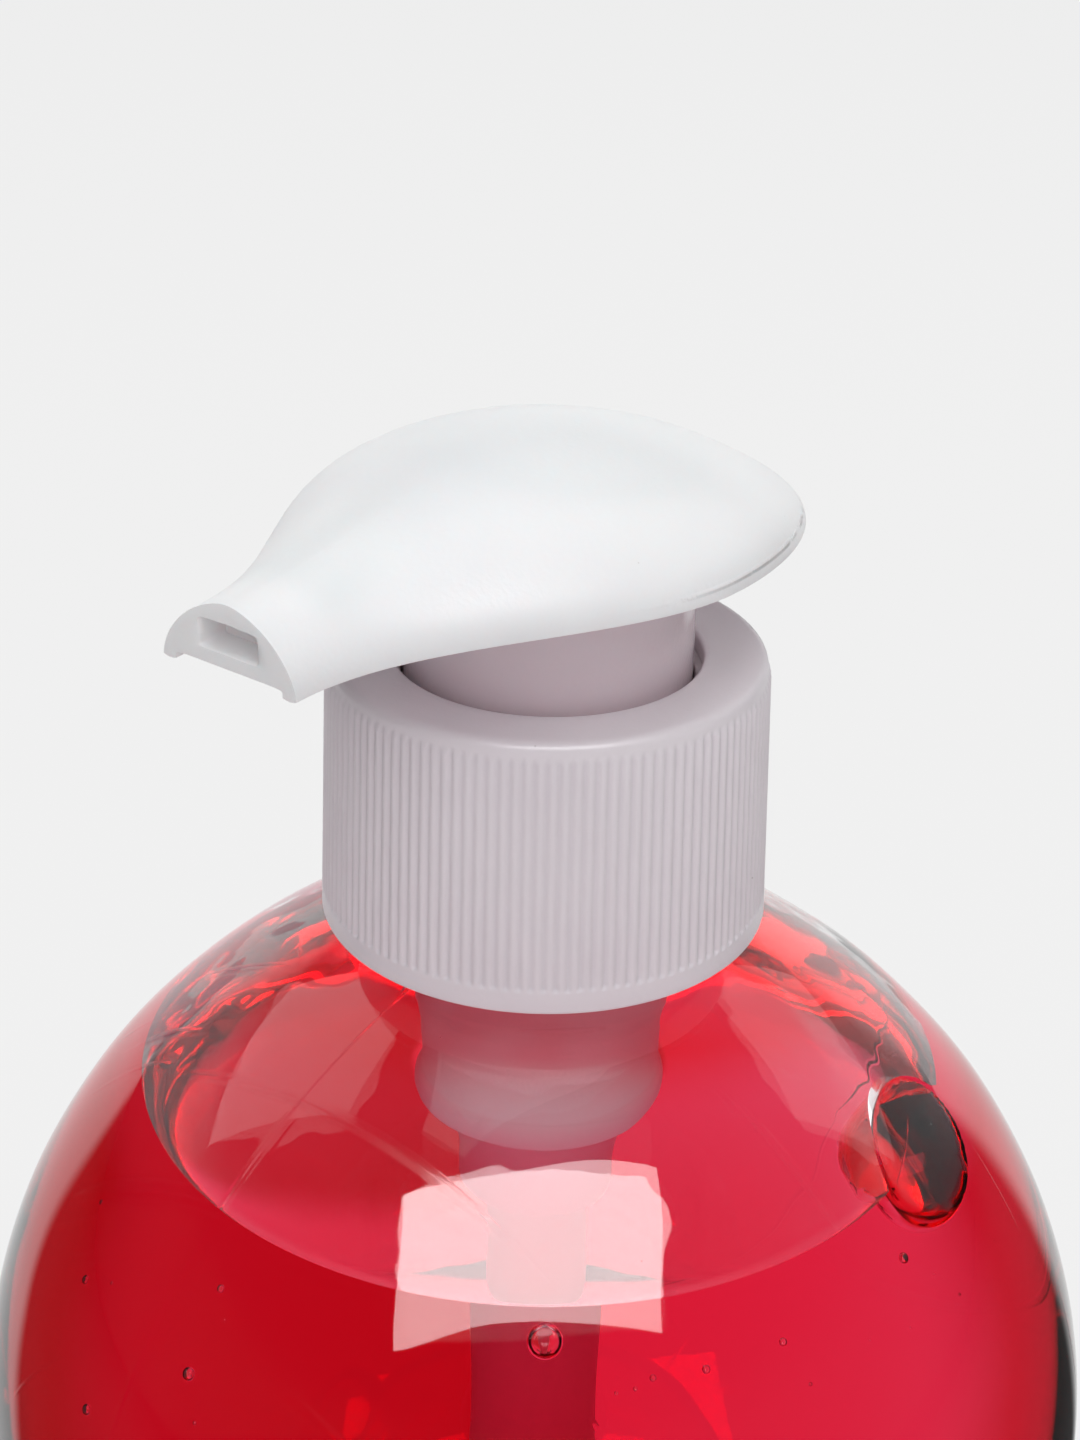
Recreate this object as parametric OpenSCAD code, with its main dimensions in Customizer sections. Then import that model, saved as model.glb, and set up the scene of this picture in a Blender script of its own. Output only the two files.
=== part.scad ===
// Liquid soap bottle with a screw-on lotion pump.
// Millimetres. Origin at the middle of the base, +Z up, nozzle towards -Y.

/* [Bottle] */
// Widest diameter of the ball-shaped body
body_d = 90.8; // [80:0.1:110]
// Height of the widest point over the table
belly_z = 35.5; // [32:0.5:40]
// Half height of the ball, from the widest point up to its pole
body_rise = 44.5; // [41:0.5:54]
// Power of the body's curve: 2 is an ellipse, less is slimmer at the shoulder
body_power = 1.9; // [1.8:0.05:2.2]
// Wall thickness of the body
body_wall = 0.9; // [0.6:0.1:1.4]
// Thickness of the base
base_wall = 1.6; // [1:0.1:2.5]
// Outer diameter of the ring that it stands on
foot_d = 48; // [42:1:54]
// Width of that ring
foot_w = 3; // [2:0.5:5]
// Height of the push-up inside the ring
push_up = 3; // [1:0.5:5]
// Height at which the rounded heel meets the body
heel_h = 3.5; // [2:0.5:5]
// Level of the soap over the table
soap_z = 64.8; // [56:0.1:67]

/* [Neck] */
// Outer diameter of the neck at the thread's root
neck_d = 25.2; // [24.8:0.1:25.4]
// Bore of the neck
neck_bore = 23; // [22.8:0.1:23.2]
// Height of the neck's land over the body's pole
neck_rise = 17.9; // [17:0.1:20]
// Radius of the fillet between the shoulder and the neck
neck_fillet = 1.8; // [1:0.1:2.4]
// Outer diameter over the neck's thread
thread_d = 27.3; // [27:0.1:27.4]
// Pitch of the thread
thread_pitch = 4.233; // [4:0.01:4.5]
// Turns of thread on the neck
thread_turns = 1.5; // [1:0.25:1.5]

/* [Closure] */
// Outer diameter of the collar at its lower rim
closure_d = 34; // [33.4:0.1:36]
// Draft: how much narrower the collar is at its top, on the diameter
closure_draft = 1.2; // [0:0.1:1.4]
// Height of the collar
closure_h = 21.1; // [20.6:0.1:23]
// Thickness of the collar's top wall
closure_top = 1.5; // [1.2:0.1:2]
// Inner diameter of the collar's bore, at the root of its thread
closure_bore = 28.1; // [27.9:0.1:28.4]
// Diameter of the opening in the collar's top
opening_d = 22.8; // [22.5:0.1:24]
// Number of grip ribs
rib_count = 120; // [60:1:140]
// Depth of the grip ribs
rib_depth = 0.3; // [0.15:0.05:0.45]
// Plain band below the ribs
rib_band = 1.7; // [1:0.1:3]
// Radius of the collar's upper edge
closure_edge = 0.9; // [0.4:0.1:1.2]

/* [Pump] */
// Thickness of the gasket
gasket_t = 0.8; // [0.5:0.1:1.2]
// Thickness of the housing's flange
flange_t = 1.2; // [0.8:0.1:1.6]
// Outer diameter of the flange
flange_d = 25.8; // [24.6:0.1:26.4]
// Wall of the housing's upper cup
cup_wall = 0.5; // [0.4:0.05:0.55]
// Outer diameter of the pump chamber
chamber_d = 18.6; // [18:0.1:20]
// Wall of the pump chamber
chamber_wall = 1; // [0.8:0.1:1.2]
// Length of the pump chamber below the cup
chamber_h = 26.8; // [25:0.2:30]
// Outer diameter of the valve tube below the chamber
valve_d = 12.6; // [12.2:0.1:14]
// Length of the valve tube, its cone included
valve_h = 16; // [14:0.5:20]
// Diameter of the inlet ball
inlet_ball_d = 8; // [7.6:0.1:8.4]
// Outer diameter of the dip tube
dip_d = 8; // [7.6:0.1:8.4]
// Wall of the dip tube
dip_wall = 0.9; // [0.6:0.1:1.2]
// Clear space between the dip tube's end and the bottle's floor
dip_clear = 2.5; // [1.5:0.5:5]
// Diameter of the spring's wire
wire_d = 1; // [0.8:0.1:1.1]
// Mean diameter of the spring
spring_d = 13.4; // [13:0.1:13.8]
// Turns of the spring
spring_turns = 6; // [5:1:7]

/* [Plunger] */
// Travel of the head
stroke = 8; // [5:0.5:9]
// Outer diameter of the stem
stem_d = 7.6; // [7.4:0.1:8]
// Bore of the stem
stem_bore = 3; // [2.6:0.1:3.1]
// Diameter of the outlet ball
outlet_ball_d = 4.6; // [4.5:0.1:4.9]
// Height of the piston
piston_h = 5; // [4:0.5:6]
// Thickness of the collars above and below the piston
stem_collar_h = 1.4; // [1:0.1:1.6]

/* [Head] */
// Reach of the nozzle from the pump's axis
head_front = 33; // [28:0.5:42]
// Reach of the head's tail behind the axis
head_back = 21.8; // [19:0.2:26]
// Widest width of the head
head_w = 34.6; // [31:0.2:38]
// Distance of the widest and highest point in front of the axis
head_mid = 2; // [0:0.5:3]
// Width of the nozzle's end
nozzle_w = 11.4; // [10:0.2:12]
// Gap between the collar's top and the head's rim
head_gap = 10.6; // [9.8:0.1:12]
// Height of the crown over the rim
crown_h = 7.9; // [7.1:0.1:10]
// Height of the nozzle's end over the rim
nozzle_h = 4.9; // [4.8:0.1:6.5]
// Height of the tail's edge
tail_h = 0.5; // [0.4:0.1:1.6]
// How far the rim droops at the tail
tail_droop = 2; // [0:0.1:2.4]
// How far the rim droops at the nozzle
nozzle_droop = 1.1; // [0:0.1:1.6]
// Wall thickness of the head
head_wall = 1.2; // [0.9:0.1:1.4]
// Outer diameter of the skirt
skirt_d = 21.4; // [20.4:0.1:21.5]
// Wall of the skirt
skirt_wall = 1; // [0.8:0.1:1.2]
// Length of the skirt inside the collar
skirt_in = 2.6; // [2:0.1:4]
// Width of the nozzle's slot
slot_w = 5; // [3:0.1:5.4]
// Height of the nozzle's slot
slot_h = 2; // [1.2:0.1:2.2]

/* [Hidden] */
$fn = 96;

seat_gap = 0.05;     // left where faces seat or run on each other
slide_gap = 0.15;    // between the skirt and the housing's cup
film_gap = 0.05;     // between the soap and the walls it wets
pump_clear = 0.25;   // between the soap and the pump's outside
body_steps = 30;     // points along one side of the body
curve_steps = 6;     // points of a small fillet

// heights, from the neck's land up
neck_top = belly_z + body_rise + neck_rise;
flange_z = neck_top + gasket_t;
closure_top_z = flange_z + flange_t + seat_gap + closure_top;
closure_z = closure_top_z - closure_h;
rim_z = closure_top_z + head_gap;
skirt_z = closure_top_z - skirt_in;
// heights, down the pump
cap_t = 1;
cap_top = skirt_z - stroke - 0.5;
cup_floor_t = 1.2;
cup_floor = cap_top - cap_t - seat_gap;
plug_h = 3;
plug_z = cup_floor - plug_h;
chamber_top = cup_floor - cup_floor_t;
chamber_bottom = chamber_top - chamber_h;
cone_h = 3;
chamber_floor_t = 0.9;
spring_z = chamber_bottom + chamber_floor_t;
valve_z = chamber_bottom - valve_h;
collar_gap = 0.2;
stem_collar_z = plug_z - collar_gap - stem_collar_h;
piston_z = stem_collar_z - seat_gap - piston_h;
stem_foot_z = piston_z - seat_gap - stem_collar_h;
spring_h = piston_z - spring_z - 2 * seat_gap;
// heights in the head: lips under the nozzle, its flat underside, the slot over that
lip_h = 0.5;
slot_floor = 1;
slot_z = rim_at(head_front) + lip_h + slot_floor + slot_h / 2;

// radii
cup_in_r = skirt_d / 2 + slide_gap;
cup_r = cup_in_r + cup_wall;
chamber_in_r = chamber_d / 2 - chamber_wall;
valve_wall = 1.4;
valve_in_r = valve_d / 2 - valve_wall;
dip_r = dip_d / 2;
stem_r = stem_d / 2;
stem_collar_r = stem_r + 1.4;
stem_cage_r = outlet_ball_d / 2 + 0.4;

// The body's curve: a point at angle t on a rounded power ellipse, moved in by inset
function body_pt(t, inset) = [
    (body_d / 2 - inset) * pow(cos(t), 2 / body_power),
    belly_z + sign(t) * (body_rise - inset) * pow(abs(sin(t)), 2 / body_power)];
// The angle at which that curve has radius r, or height z
function body_t_of_r(r, inset) = acos(pow(r / (body_d / 2 - inset), body_power / 2));
function body_t_of_z(z, inset) = sign(z - belly_z)
    * asin(pow(abs(z - belly_z) / (body_rise - inset), body_power / 2));
function body_run(t0, t1, inset) =
    [for (i = [0:body_steps]) body_pt(t0 + (t1 - t0) * i / body_steps, inset)];
// A curve from p to r that starts and ends along the lines to q
function bend(p, q, r) = [for (i = [1:curve_steps - 1]) let (u = i / curve_steps)
    (1 - u) * (1 - u) * p + 2 * u * (1 - u) * q + u * u * r];
// The slope dr/dz of the body's curve at angle t
function body_slope(t, inset) = let (d = body_pt(t + 0.5, inset) - body_pt(t - 0.5, inset))
    d[0] / d[1];

// From the axis over the base and up the side, up to the body's angle t_end.
// The floor lies at height floor over the outside of the base.
function base_and_side(inset, floor, t_end) = let (
        ring_r = foot_d / 2 - foot_w,
        foot_r = foot_d / 2 - inset,
        t_heel = body_t_of_z(heel_h + floor, inset),
        heel = body_pt(t_heel, inset),
        corner = [heel[0] - (heel[1] - floor) * body_slope(t_heel, inset), floor])
    concat(
        [for (i = [0:curve_steps]) let (u = i / curve_steps)
            [ring_r * u, floor + push_up * (1 - u * u)]],
        [[foot_r, floor]],
        bend([foot_r, floor], corner, heel),
        body_run(t_heel, t_end, inset));

// From the shoulder up the neck to its land, at radius r
function shoulder_and_neck(inset, r, fillet) = let (
        t = body_t_of_r(r + fillet, inset),
        shoulder = body_pt(t, inset),
        corner = [r, shoulder[1] - fillet / body_slope(t, inset)])
    concat(bend(shoulder, corner, corner + [0, fillet]),
        [corner + [0, fillet], [r, neck_top - neck_lip], [r, neck_top]]);
neck_lip = 0.5;

function flip(points) = [for (i = [len(points) - 1:-1:0]) points[i]];

// A right-hand thread ridge on radius r: its root lies sunk in the wall, its crest at crest_r
module thread_ridge(r, crest_r, z, turns, root_w, crest_w) {
    per_turn = 30;
    sunk = 0.3 * sign(crest_r - r);
    n = round(turns * per_turn);
    fade = per_turn / 5;
    ring = [for (i = [0:n]) let (
            a = 360 * i / per_turn,
            rise = min(1, max(0.08, min(i, n - i) / fade)),
            c = r + (crest_r - r) * rise,
            w = (root_w + (crest_w - root_w) * rise) / 2,
            mid = z + thread_pitch * i / per_turn)
        [[r - sunk, mid - root_w / 2], [c, mid - w], [c, mid + w], [r - sunk, mid + root_w / 2]]];
    points = [for (i = [0:n]) for (p = ring[i])
        let (a = 360 * i / per_turn) [p[0] * cos(a), p[0] * sin(a), p[1]]];
    side = [for (i = [0:n - 1]) for (k = [0:3]) let (
            a = 4 * i + k, b = 4 * i + (k + 1) % 4, c = a + 4, d = b + 4)
        each [[a, b, d], [a, d, c]]];
    ends = [[2, 1, 0], [3, 2, 0], [4 * n, 4 * n + 1, 4 * n + 2], [4 * n, 4 * n + 2, 4 * n + 3]];
    faces = concat(side, ends);
    polyhedron(points, crest_r < r ? [for (f = faces) [f[2], f[1], f[0]]] : faces);
}

thread_start = neck_top - 2.4 - thread_turns * thread_pitch;

module bottle() {
    color([0.93, 0.95, 0.97, 0.35]) union() {
        rotate_extrude() polygon(concat(
            base_and_side(0, 0, body_t_of_r(neck_d / 2 + neck_fillet, 0)),
            shoulder_and_neck(0, neck_d / 2, neck_fillet),
            flip(shoulder_and_neck(body_wall, neck_bore / 2, neck_fillet)),
            flip(base_and_side(body_wall, base_wall,
                body_t_of_r(neck_bore / 2 + neck_fillet, body_wall)))));
        thread_ridge(neck_d / 2, thread_d / 2, thread_start, thread_turns, 2.2, 0.9);
    }
}

// The soap fills the body up to its level, round a well that the pump stands in
module liquid_soap() {
    inset = body_wall + film_gap;
    floor = base_wall + film_gap;
    well = pump_clear;
    color([0.83, 0.05, 0.12, 0.8]) rotate_extrude() difference() {
        polygon(concat(base_and_side(inset, floor, body_t_of_z(soap_z, inset)), [[0, soap_z]]));
        polygon([[-1, dip_end_z - well], [dip_r + well, dip_end_z - well],
            [dip_r + well, valve_z - well], [valve_d / 2 + well, valve_z - well],
            [valve_d / 2 + well, chamber_bottom - cone_h - well],
            [chamber_d / 2 + well, chamber_bottom - well],
            [chamber_d / 2 + well, soap_z + 1], [-1, soap_z + 1]]);
    }
}

// The collar's outline: round-crested ribs, as a wave on the radius
function rib_outline(r) = let (n = rib_count * 4)
    [for (i = [0:n - 1]) let (a = 360 * i / n, q = r - rib_depth * (1 - cos(360 * i / 4)) / 2)
        [q * cos(a), q * sin(a)]];

module closure() {
    r0 = closure_d / 2;
    r1 = (closure_d - closure_draft) / 2;
    rib_top = closure_h - closure_edge - 0.2;
    r_rib_top = r1 - rib_depth;
    bore_r = closure_bore / 2;
    chamfer = 0.3;
    color("gainsboro") translate([0, 0, closure_z]) difference() {
        union() {
            rotate_extrude() difference() {
                polygon(concat([[0, 0], [r0 - chamfer, 0], [r0, chamfer], [r0, rib_band],
                        [r_rib_top, rib_top - 0.01]],
                    bend([r_rib_top, rib_top], [r_rib_top, closure_h],
                        [r_rib_top - closure_edge, closure_h]),
                    [[r_rib_top - closure_edge, closure_h], [0, closure_h]]));
                polygon([[r0 + 1, rib_band], [r0 - rib_depth, rib_band],
                    [r_rib_top, rib_top - 0.01], [r0 + 1, rib_top - 0.01]]);
            }
            translate([0, 0, rib_band - 0.2])
                linear_extrude(rib_top - rib_band + 0.2, scale = r1 / r0)
                    polygon(rib_outline(r0 - 0.02));
        }
        translate([0, 0, -1]) cylinder(h = closure_h - closure_top + 1, r = bore_r);
        cylinder(h = closure_h + 1, r = opening_d / 2);
    }
    color("gainsboro")
        thread_ridge(bore_r, neck_d / 2 + 0.4, thread_start - thread_pitch / 2,
            thread_turns - 0.25, 1.9, 0.8);
}

module ring(r_out, r_in, z, h) {
    translate([0, 0, z]) difference() {
        cylinder(h = h, r = r_out);
        translate([0, 0, -1]) cylinder(h = h + 2, r = r_in);
    }
}

module gasket() {
    color("whitesmoke") ring(neck_d / 2, cup_r + seat_gap, neck_top, gasket_t);
}

// Cup, flange, chamber, cone and valve tube, turned as one moulding
dip_socket_h = 9;
dip_stop_z = valve_z + dip_socket_h;
seat_r = inlet_ball_d / 2 * 0.7;
seat_z = dip_stop_z + 1.2;
module pump_housing() {
    seat_top_r = valve_in_r;
    color("white") rotate_extrude() polygon([
        [dip_r + seat_gap, valve_z], [valve_d / 2, valve_z],
        [valve_d / 2, chamber_bottom - cone_h], [chamber_d / 2, chamber_bottom],
        [chamber_d / 2, chamber_top], [cup_r, chamber_top], [cup_r, flange_z],
        [flange_d / 2, flange_z], [flange_d / 2, flange_z + flange_t],
        [cup_in_r, flange_z + flange_t],
        [cup_in_r, cup_floor], [chamber_in_r, cup_floor],
        [chamber_in_r, spring_z], [valve_in_r, spring_z],
        [seat_top_r, seat_z + seat_top_r - seat_r + 0.4],
        [seat_r - 0.4, seat_z], [seat_r - 0.4, dip_stop_z],
        [dip_r + seat_gap, dip_stop_z]]);
}

// Plug that closes the chamber's top and guides the stem
module guide_cap() {
    guide_r = stem_r + seat_gap;
    guide_wall = 1.2;
    guide_top = cap_top + 1.6;
    color("white") rotate_extrude() polygon([
        [guide_r, plug_z], [chamber_in_r - seat_gap, plug_z],
        [chamber_in_r - seat_gap, cup_floor + seat_gap],
        [cup_in_r - seat_gap, cup_floor + seat_gap],
        [cup_in_r - seat_gap, cap_top],
        [guide_r + guide_wall, cap_top], [guide_r + guide_wall, guide_top],
        [guide_r, guide_top]]);
}

// A ball that rests on a 45 degree seat touches it at 0.707 of its radius
function ball_on_seat(ball_d, r, z) = z + (ball_d / 2 / sqrt(2) - r) + ball_d / 2 / sqrt(2)
    + seat_gap * sqrt(2);
module inlet_ball() {
    color("silver") translate([0, 0, ball_on_seat(inlet_ball_d, seat_r - 0.4, seat_z)])
        sphere(d = inlet_ball_d);
}

dip_top_z = dip_stop_z - seat_gap;
dip_end_z = base_wall + push_up + dip_clear;
module dip_tube() {
    color("white") difference() {
        ring(dip_r, dip_r - dip_wall, dip_end_z, dip_top_z - dip_end_z);
        translate([0, 0, dip_end_z]) rotate([30, 0, 0])
            translate([-dip_d, -2 * dip_d, -2 * dip_d]) cube([2 * dip_d, 4 * dip_d, 2 * dip_d]);
    }
}

// Helical spring with a flat dead turn at each end, swept as one tube
module return_spring() {
    per_turn = 16;
    sides = 8;
    dead = 1;
    n = spring_turns * per_turn;
    z0 = spring_z + seat_gap + wire_d / 2;
    live_h = spring_h - wire_d;
    function rise(u) = u < dead ? wire_d * u * 1.05
        : u > spring_turns - dead ? live_h - wire_d * (spring_turns - u) * 1.05
        : wire_d * dead * 1.05 + (live_h - 2.1 * wire_d * dead) * (u - dead)
            / (spring_turns - 2 * dead);
    points = [for (i = [0:n]) let (u = i / per_turn, a = 360 * u) for (k = [0:sides - 1])
        let (b = 360 * k / sides, r = (spring_d + wire_d * cos(b)) / 2)
        [r * cos(a), r * sin(a), z0 + rise(u) + wire_d / 2 * sin(b)]];
    side = [for (i = [0:n - 1]) for (k = [0:sides - 1]) let (
            a = sides * i + k, b = sides * i + (k + 1) % sides, c = a + sides, d = b + sides)
        each [[a, b, d], [a, d, c]]];
    ends = [[for (k = [sides - 1:-1:0]) k], [for (k = [0:sides - 1]) sides * n + k]];
    color("silver") polyhedron(points, concat(side, ends));
}

// Seal ring that slides in the chamber, with a lip at each end
module piston() {
    r_in = stem_r + seat_gap;
    r_out = chamber_in_r - seat_gap;
    hub = 1.3;
    web = 1.6;
    lip = 0.9;
    waist = 0.3;
    color("aliceblue") rotate_extrude() polygon([
        [r_in, piston_z], [r_out, piston_z], [r_out, piston_z + 1],
        [r_out - waist, piston_z + 1.5], [r_out - waist, piston_z + piston_h - 1.5],
        [r_out, piston_z + piston_h - 1], [r_out, piston_z + piston_h],
        [r_out - lip, piston_z + piston_h], [r_out - lip - waist, piston_z + web],
        [r_in + hub, piston_z + web], [r_in + hub, piston_z + piston_h],
        [r_in, piston_z + piston_h]]);
}

// Hollow rod with a foot and a collar that carry the piston, and a ball cage at its top
stem_top = slot_z - slot_h / 2 - 0.5;
cage_z = rim_z - 6.5;
module stem() {
    bore_r = stem_bore / 2;
    color("white") rotate_extrude() polygon([
        [bore_r, stem_foot_z], [stem_collar_r, stem_foot_z],
        [stem_collar_r, stem_foot_z + stem_collar_h], [stem_r, stem_foot_z + stem_collar_h],
        [stem_r, stem_collar_z], [stem_collar_r, stem_collar_z],
        [stem_collar_r, stem_collar_z + stem_collar_h],
        [stem_r, stem_collar_z + stem_collar_h], [stem_r, stem_top],
        [stem_cage_r, stem_top], [stem_cage_r, cage_z + stem_cage_r - bore_r],
        [bore_r, cage_z]]);
}

module outlet_ball() {
    color("silver") translate([0, 0, ball_on_seat(outlet_ball_d, stem_bore / 2, cage_z)])
        sphere(d = outlet_ball_d);
}

// The head's plan and crown, as functions of the distance s in front of the axis
function half_width(s, inset) = let (tail = head_back - inset, w = head_w / 2 - inset)
    s < head_mid ? w * sqrt(max(0, 1 - pow((head_mid - s) / (head_mid + tail), 2)))
    : nozzle_w / 2 - inset + (w - nozzle_w / 2 + inset)
        * (1 + cos(180 * min(1, (s - head_mid) / (head_front - head_mid)))) / 2;
function rim_at(s) = let (u = (s + head_back) / (head_front + head_back))
    rim_z - tail_droop * pow(1 - u, 2) - nozzle_droop * pow(u, 2);
function crown_at(s) = s < head_mid
    ? tail_h + (crown_h - tail_h)
        * pow(sin(90 * max(0, (s + head_back) / (head_mid + head_back))), 0.88)
    : nozzle_h + (crown_h - nozzle_h)
        * (1 + cos(180 * min(1, (s - head_mid) / (head_front - head_mid)))) / 2;
crown_power = 1.7;

// A solid under the crown, moved in by inset, from s0 to s1, with its sides
// carried straight down by drop below the rim
module head_solid(inset, drop, s0, s1) {
    stations = 30;
    arc = 16;
    s_at = [for (i = [0:stations]) s0 + (s1 - s0) * (1 - cos(180 * i / stations)) / 2];
    row = arc + 3;
    points = [for (s = s_at) let (w = max(0.4, half_width(s, inset)),
            h = max(0.3, crown_at(s) - inset), z = rim_at(s))
        each concat([[w, -s, z - drop]],
            [for (k = [0:arc]) let (a = 180 * k / arc)
                [w * sign(90 - a) * pow(abs(cos(a)), 2 / crown_power), -s,
                 z + h * pow(sin(a), 2 / crown_power)]],
            [[-w, -s, z - drop]])];
    skin = [for (i = [0:stations - 1]) for (k = [0:row - 1]) let (
            a = row * i + k, b = row * i + (k + 1) % row, c = a + row, d = b + row)
        each [[a, d, b], [a, c, d]]];
    ends = concat([for (k = [1:row - 2]) [0, k, k + 1]],
        [for (k = [1:row - 2]) [row * stations, row * stations + k + 1, row * stations + k]]);
    polyhedron(points, concat(skin, ends));
}

tip_solid = 6;
lip_w = 1.15;
socket_wall = 1.5;
module actuator() {
    duct_wall = 1.1;
    far_up = 30;
    socket_r = stem_r + socket_wall;
    duct_w = slot_w + 2 * duct_wall;
    color("white") difference() {
        union() {
            difference() {
                head_solid(0, 0, -head_back + 0.1, head_front);
                head_solid(head_wall, 3, -head_back + head_wall + 0.2,
                    head_front - tip_solid);
            }
            intersection() {
                union() {
                    ring(skirt_d / 2, skirt_d / 2 - skirt_wall, skirt_z, far_up);
                    translate([0, 0, rim_z - 6]) cylinder(h = slot_z - rim_z + 6, r = socket_r);
                    translate([-duct_w / 2, -head_front + tip_solid - 1,
                        slot_z - slot_h / 2 - duct_wall])
                        cube([duct_w, head_front - tip_solid + 1, slot_h + 2 * duct_wall]);
                    translate([0, 0, slot_z - slot_h / 2 - duct_wall])
                        cylinder(h = slot_h + 2 * duct_wall, r = socket_r);
                }
                head_solid(head_wall / 2, far_up, -head_back + head_wall, head_front - 1);
            }
        }
        // bore for the stem, the ball's room above it, the duct and the nozzle's slot
        translate([0, 0, rim_z - 7]) cylinder(h = stem_top - rim_z + 7, r = stem_r + 0.02);
        cylinder(h = slot_z + slot_h / 2, r = stem_cage_r);
        translate([-slot_w / 2, -head_front - 1, slot_z - slot_h / 2])
            cube([slot_w, head_front + 1, slot_h]);
        // the flat underside of the nozzle, between its two side lips
        translate([-nozzle_w / 2 + lip_w, -head_front - 1, rim_at(head_front) - 1])
            cube([nozzle_w - 2 * lip_w, tip_solid + 1, lip_h + 1]);
    }
}

bottle();
liquid_soap();
closure();
gasket();
pump_housing();
guide_cap();
inlet_ball();
dip_tube();
return_spring();
piston();
stem();
outlet_ball();
actuator();
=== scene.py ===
"""Looks of a ball-shaped clear bottle of red soap with a white lotion pump.

Lengths are in millimetres and become metres where a mesh is made. The angle round the
axis is 0 towards the nozzle (-Y) and 90 degrees towards +X.
"""
import math

import bmesh
import bpy
import numpy as np
from mathutils import Matrix, Vector


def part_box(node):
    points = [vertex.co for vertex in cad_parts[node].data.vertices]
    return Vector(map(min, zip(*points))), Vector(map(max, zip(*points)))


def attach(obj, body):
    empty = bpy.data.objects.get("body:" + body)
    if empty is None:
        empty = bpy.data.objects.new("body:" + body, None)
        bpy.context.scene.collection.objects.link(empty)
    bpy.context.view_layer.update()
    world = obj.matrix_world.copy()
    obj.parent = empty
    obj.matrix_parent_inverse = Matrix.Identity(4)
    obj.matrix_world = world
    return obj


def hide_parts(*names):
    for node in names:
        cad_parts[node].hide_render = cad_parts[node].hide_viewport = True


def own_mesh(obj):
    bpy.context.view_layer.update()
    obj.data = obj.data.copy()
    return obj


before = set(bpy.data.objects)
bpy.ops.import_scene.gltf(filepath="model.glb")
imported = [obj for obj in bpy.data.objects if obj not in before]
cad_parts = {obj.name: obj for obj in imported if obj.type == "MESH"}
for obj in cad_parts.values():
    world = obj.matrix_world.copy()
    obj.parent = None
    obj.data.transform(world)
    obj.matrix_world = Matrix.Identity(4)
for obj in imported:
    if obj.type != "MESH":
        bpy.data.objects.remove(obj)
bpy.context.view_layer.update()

MM = 0.001
TURN = 2 * math.pi


def box_mm(node):
    """Lowest and highest corner of a CAD node, in millimetres."""
    low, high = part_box(node)
    return np.array(low) / MM, np.array(high) / MM


# ---- sizes in millimetres: places come from the frame, walls and radii are those of
# the construction
_, bottle_high = box_mm("bottle")
collar_low, collar_high = box_mm("closure")
head_low, head_high = box_mm("actuator")
_, soap_high = box_mm("liquid_soap")
housing_low, _ = box_mm("pump_housing")
spring_low, spring_high = box_mm("return_spring")
dip_low, dip_high = box_mm("dip_tube")

BODY_R = bottle_high[0]
BELLY_Z = 35.5
BODY_RISE = 44.5
BODY_POWER = 1.9
WALL = 0.9
BASE_WALL = 1.6
FOOT_R = 24.0
FOOT_W = 3.0
PUSH_UP = 3.0
HEEL_H = 3.5
NECK_R = 12.6
BORE_R = 11.5
NECK_TOP = bottle_high[2]
NECK_FILLET = 1.8
THREAD_R = 13.65
THREAD_PITCH = 4.233
THREAD_TURNS = 1.5
SOAP_Z = soap_high[2]

COLLAR_Z, COLLAR_TOP = collar_low[2], collar_high[2]
COLLAR_R = collar_high[0]
COLLAR_TOP_R = COLLAR_R - 0.6
COLLAR_BORE_R = 14.05
COLLAR_WALL_TOP = 1.5
OPENING_R = 11.4
RIBS = 120
RIB_DEPTH = 0.2
RIB_BAND = 1.7
COLLAR_EDGE = 0.9

SKIRT_R = 10.7
STEM_R = 3.8
CHAMBER_R = 9.3
VALVE_R = 6.3
DIP_R = 4.0


# ---- meshes
def ring_xyz(radius, z, angle):
    """Points at a radius, a height and an angle round the axis: x = r sin, y = -r cos."""
    radius, z, angle = np.broadcast_arrays(radius, z, angle)
    return np.stack([radius * np.sin(angle), -radius * np.cos(angle), z], axis=-1)


def grid_faces(rows, columns):
    """Quads of a grid of points, row by row, the last column joined to the first."""
    i, j = np.meshgrid(np.arange(rows - 1), np.arange(columns), indexing="ij")
    k = (j + 1) % columns
    quads = np.stack([i * columns + j, i * columns + k, (i + 1) * columns + k,
                      (i + 1) * columns + j], axis=-1)
    return quads.reshape(-1, 4)


def capped(points):
    """Rows of points with one more row at each end, drawn together in its middle."""
    ends = [np.broadcast_to(points[i].mean(axis=0), points[:1].shape) for i in (0, -1)]
    return np.concatenate([ends[0], points, ends[1]])


def make_piece(name, points, faces, materials, slots=None, sharp=40, groove_shade=None):
    """A mesh object from points in millimetres and quads, doubles at its poles merged."""
    mesh = bpy.data.meshes.new(name)
    mesh.from_pydata((points.reshape(-1, 3) * MM).tolist(), [], faces.tolist())
    for material in materials:
        mesh.materials.append(material)
    if slots is not None:
        mesh.polygons.foreach_set("material_index", np.asarray(slots, dtype=np.int32))
    if groove_shade is not None:
        mark = mesh.attributes.new("groove_shade", "FLOAT", "POINT")
        mark.data.foreach_set("value", np.asarray(groove_shade, dtype=np.float32).ravel())
    piece = bpy.data.objects.new(name, mesh)
    bpy.context.collection.objects.link(piece)
    work = bmesh.new()
    work.from_mesh(mesh)
    bmesh.ops.remove_doubles(work, verts=work.verts, dist=1e-7)
    work.to_mesh(mesh)
    work.free()
    mesh.shade_smooth()
    mesh.set_sharp_from_angle(angle=math.radians(sharp))
    return piece


def bend(p, q, r, steps=6):
    """A curve from p to r whose ends run along the lines to q: a quadratic Bezier."""
    u = np.linspace(0, 1, steps + 1)[:, None]
    p, q, r = map(np.asarray, (p, q, r))
    return (1 - u) ** 2 * p + 2 * u * (1 - u) * q + u ** 2 * r


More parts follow.
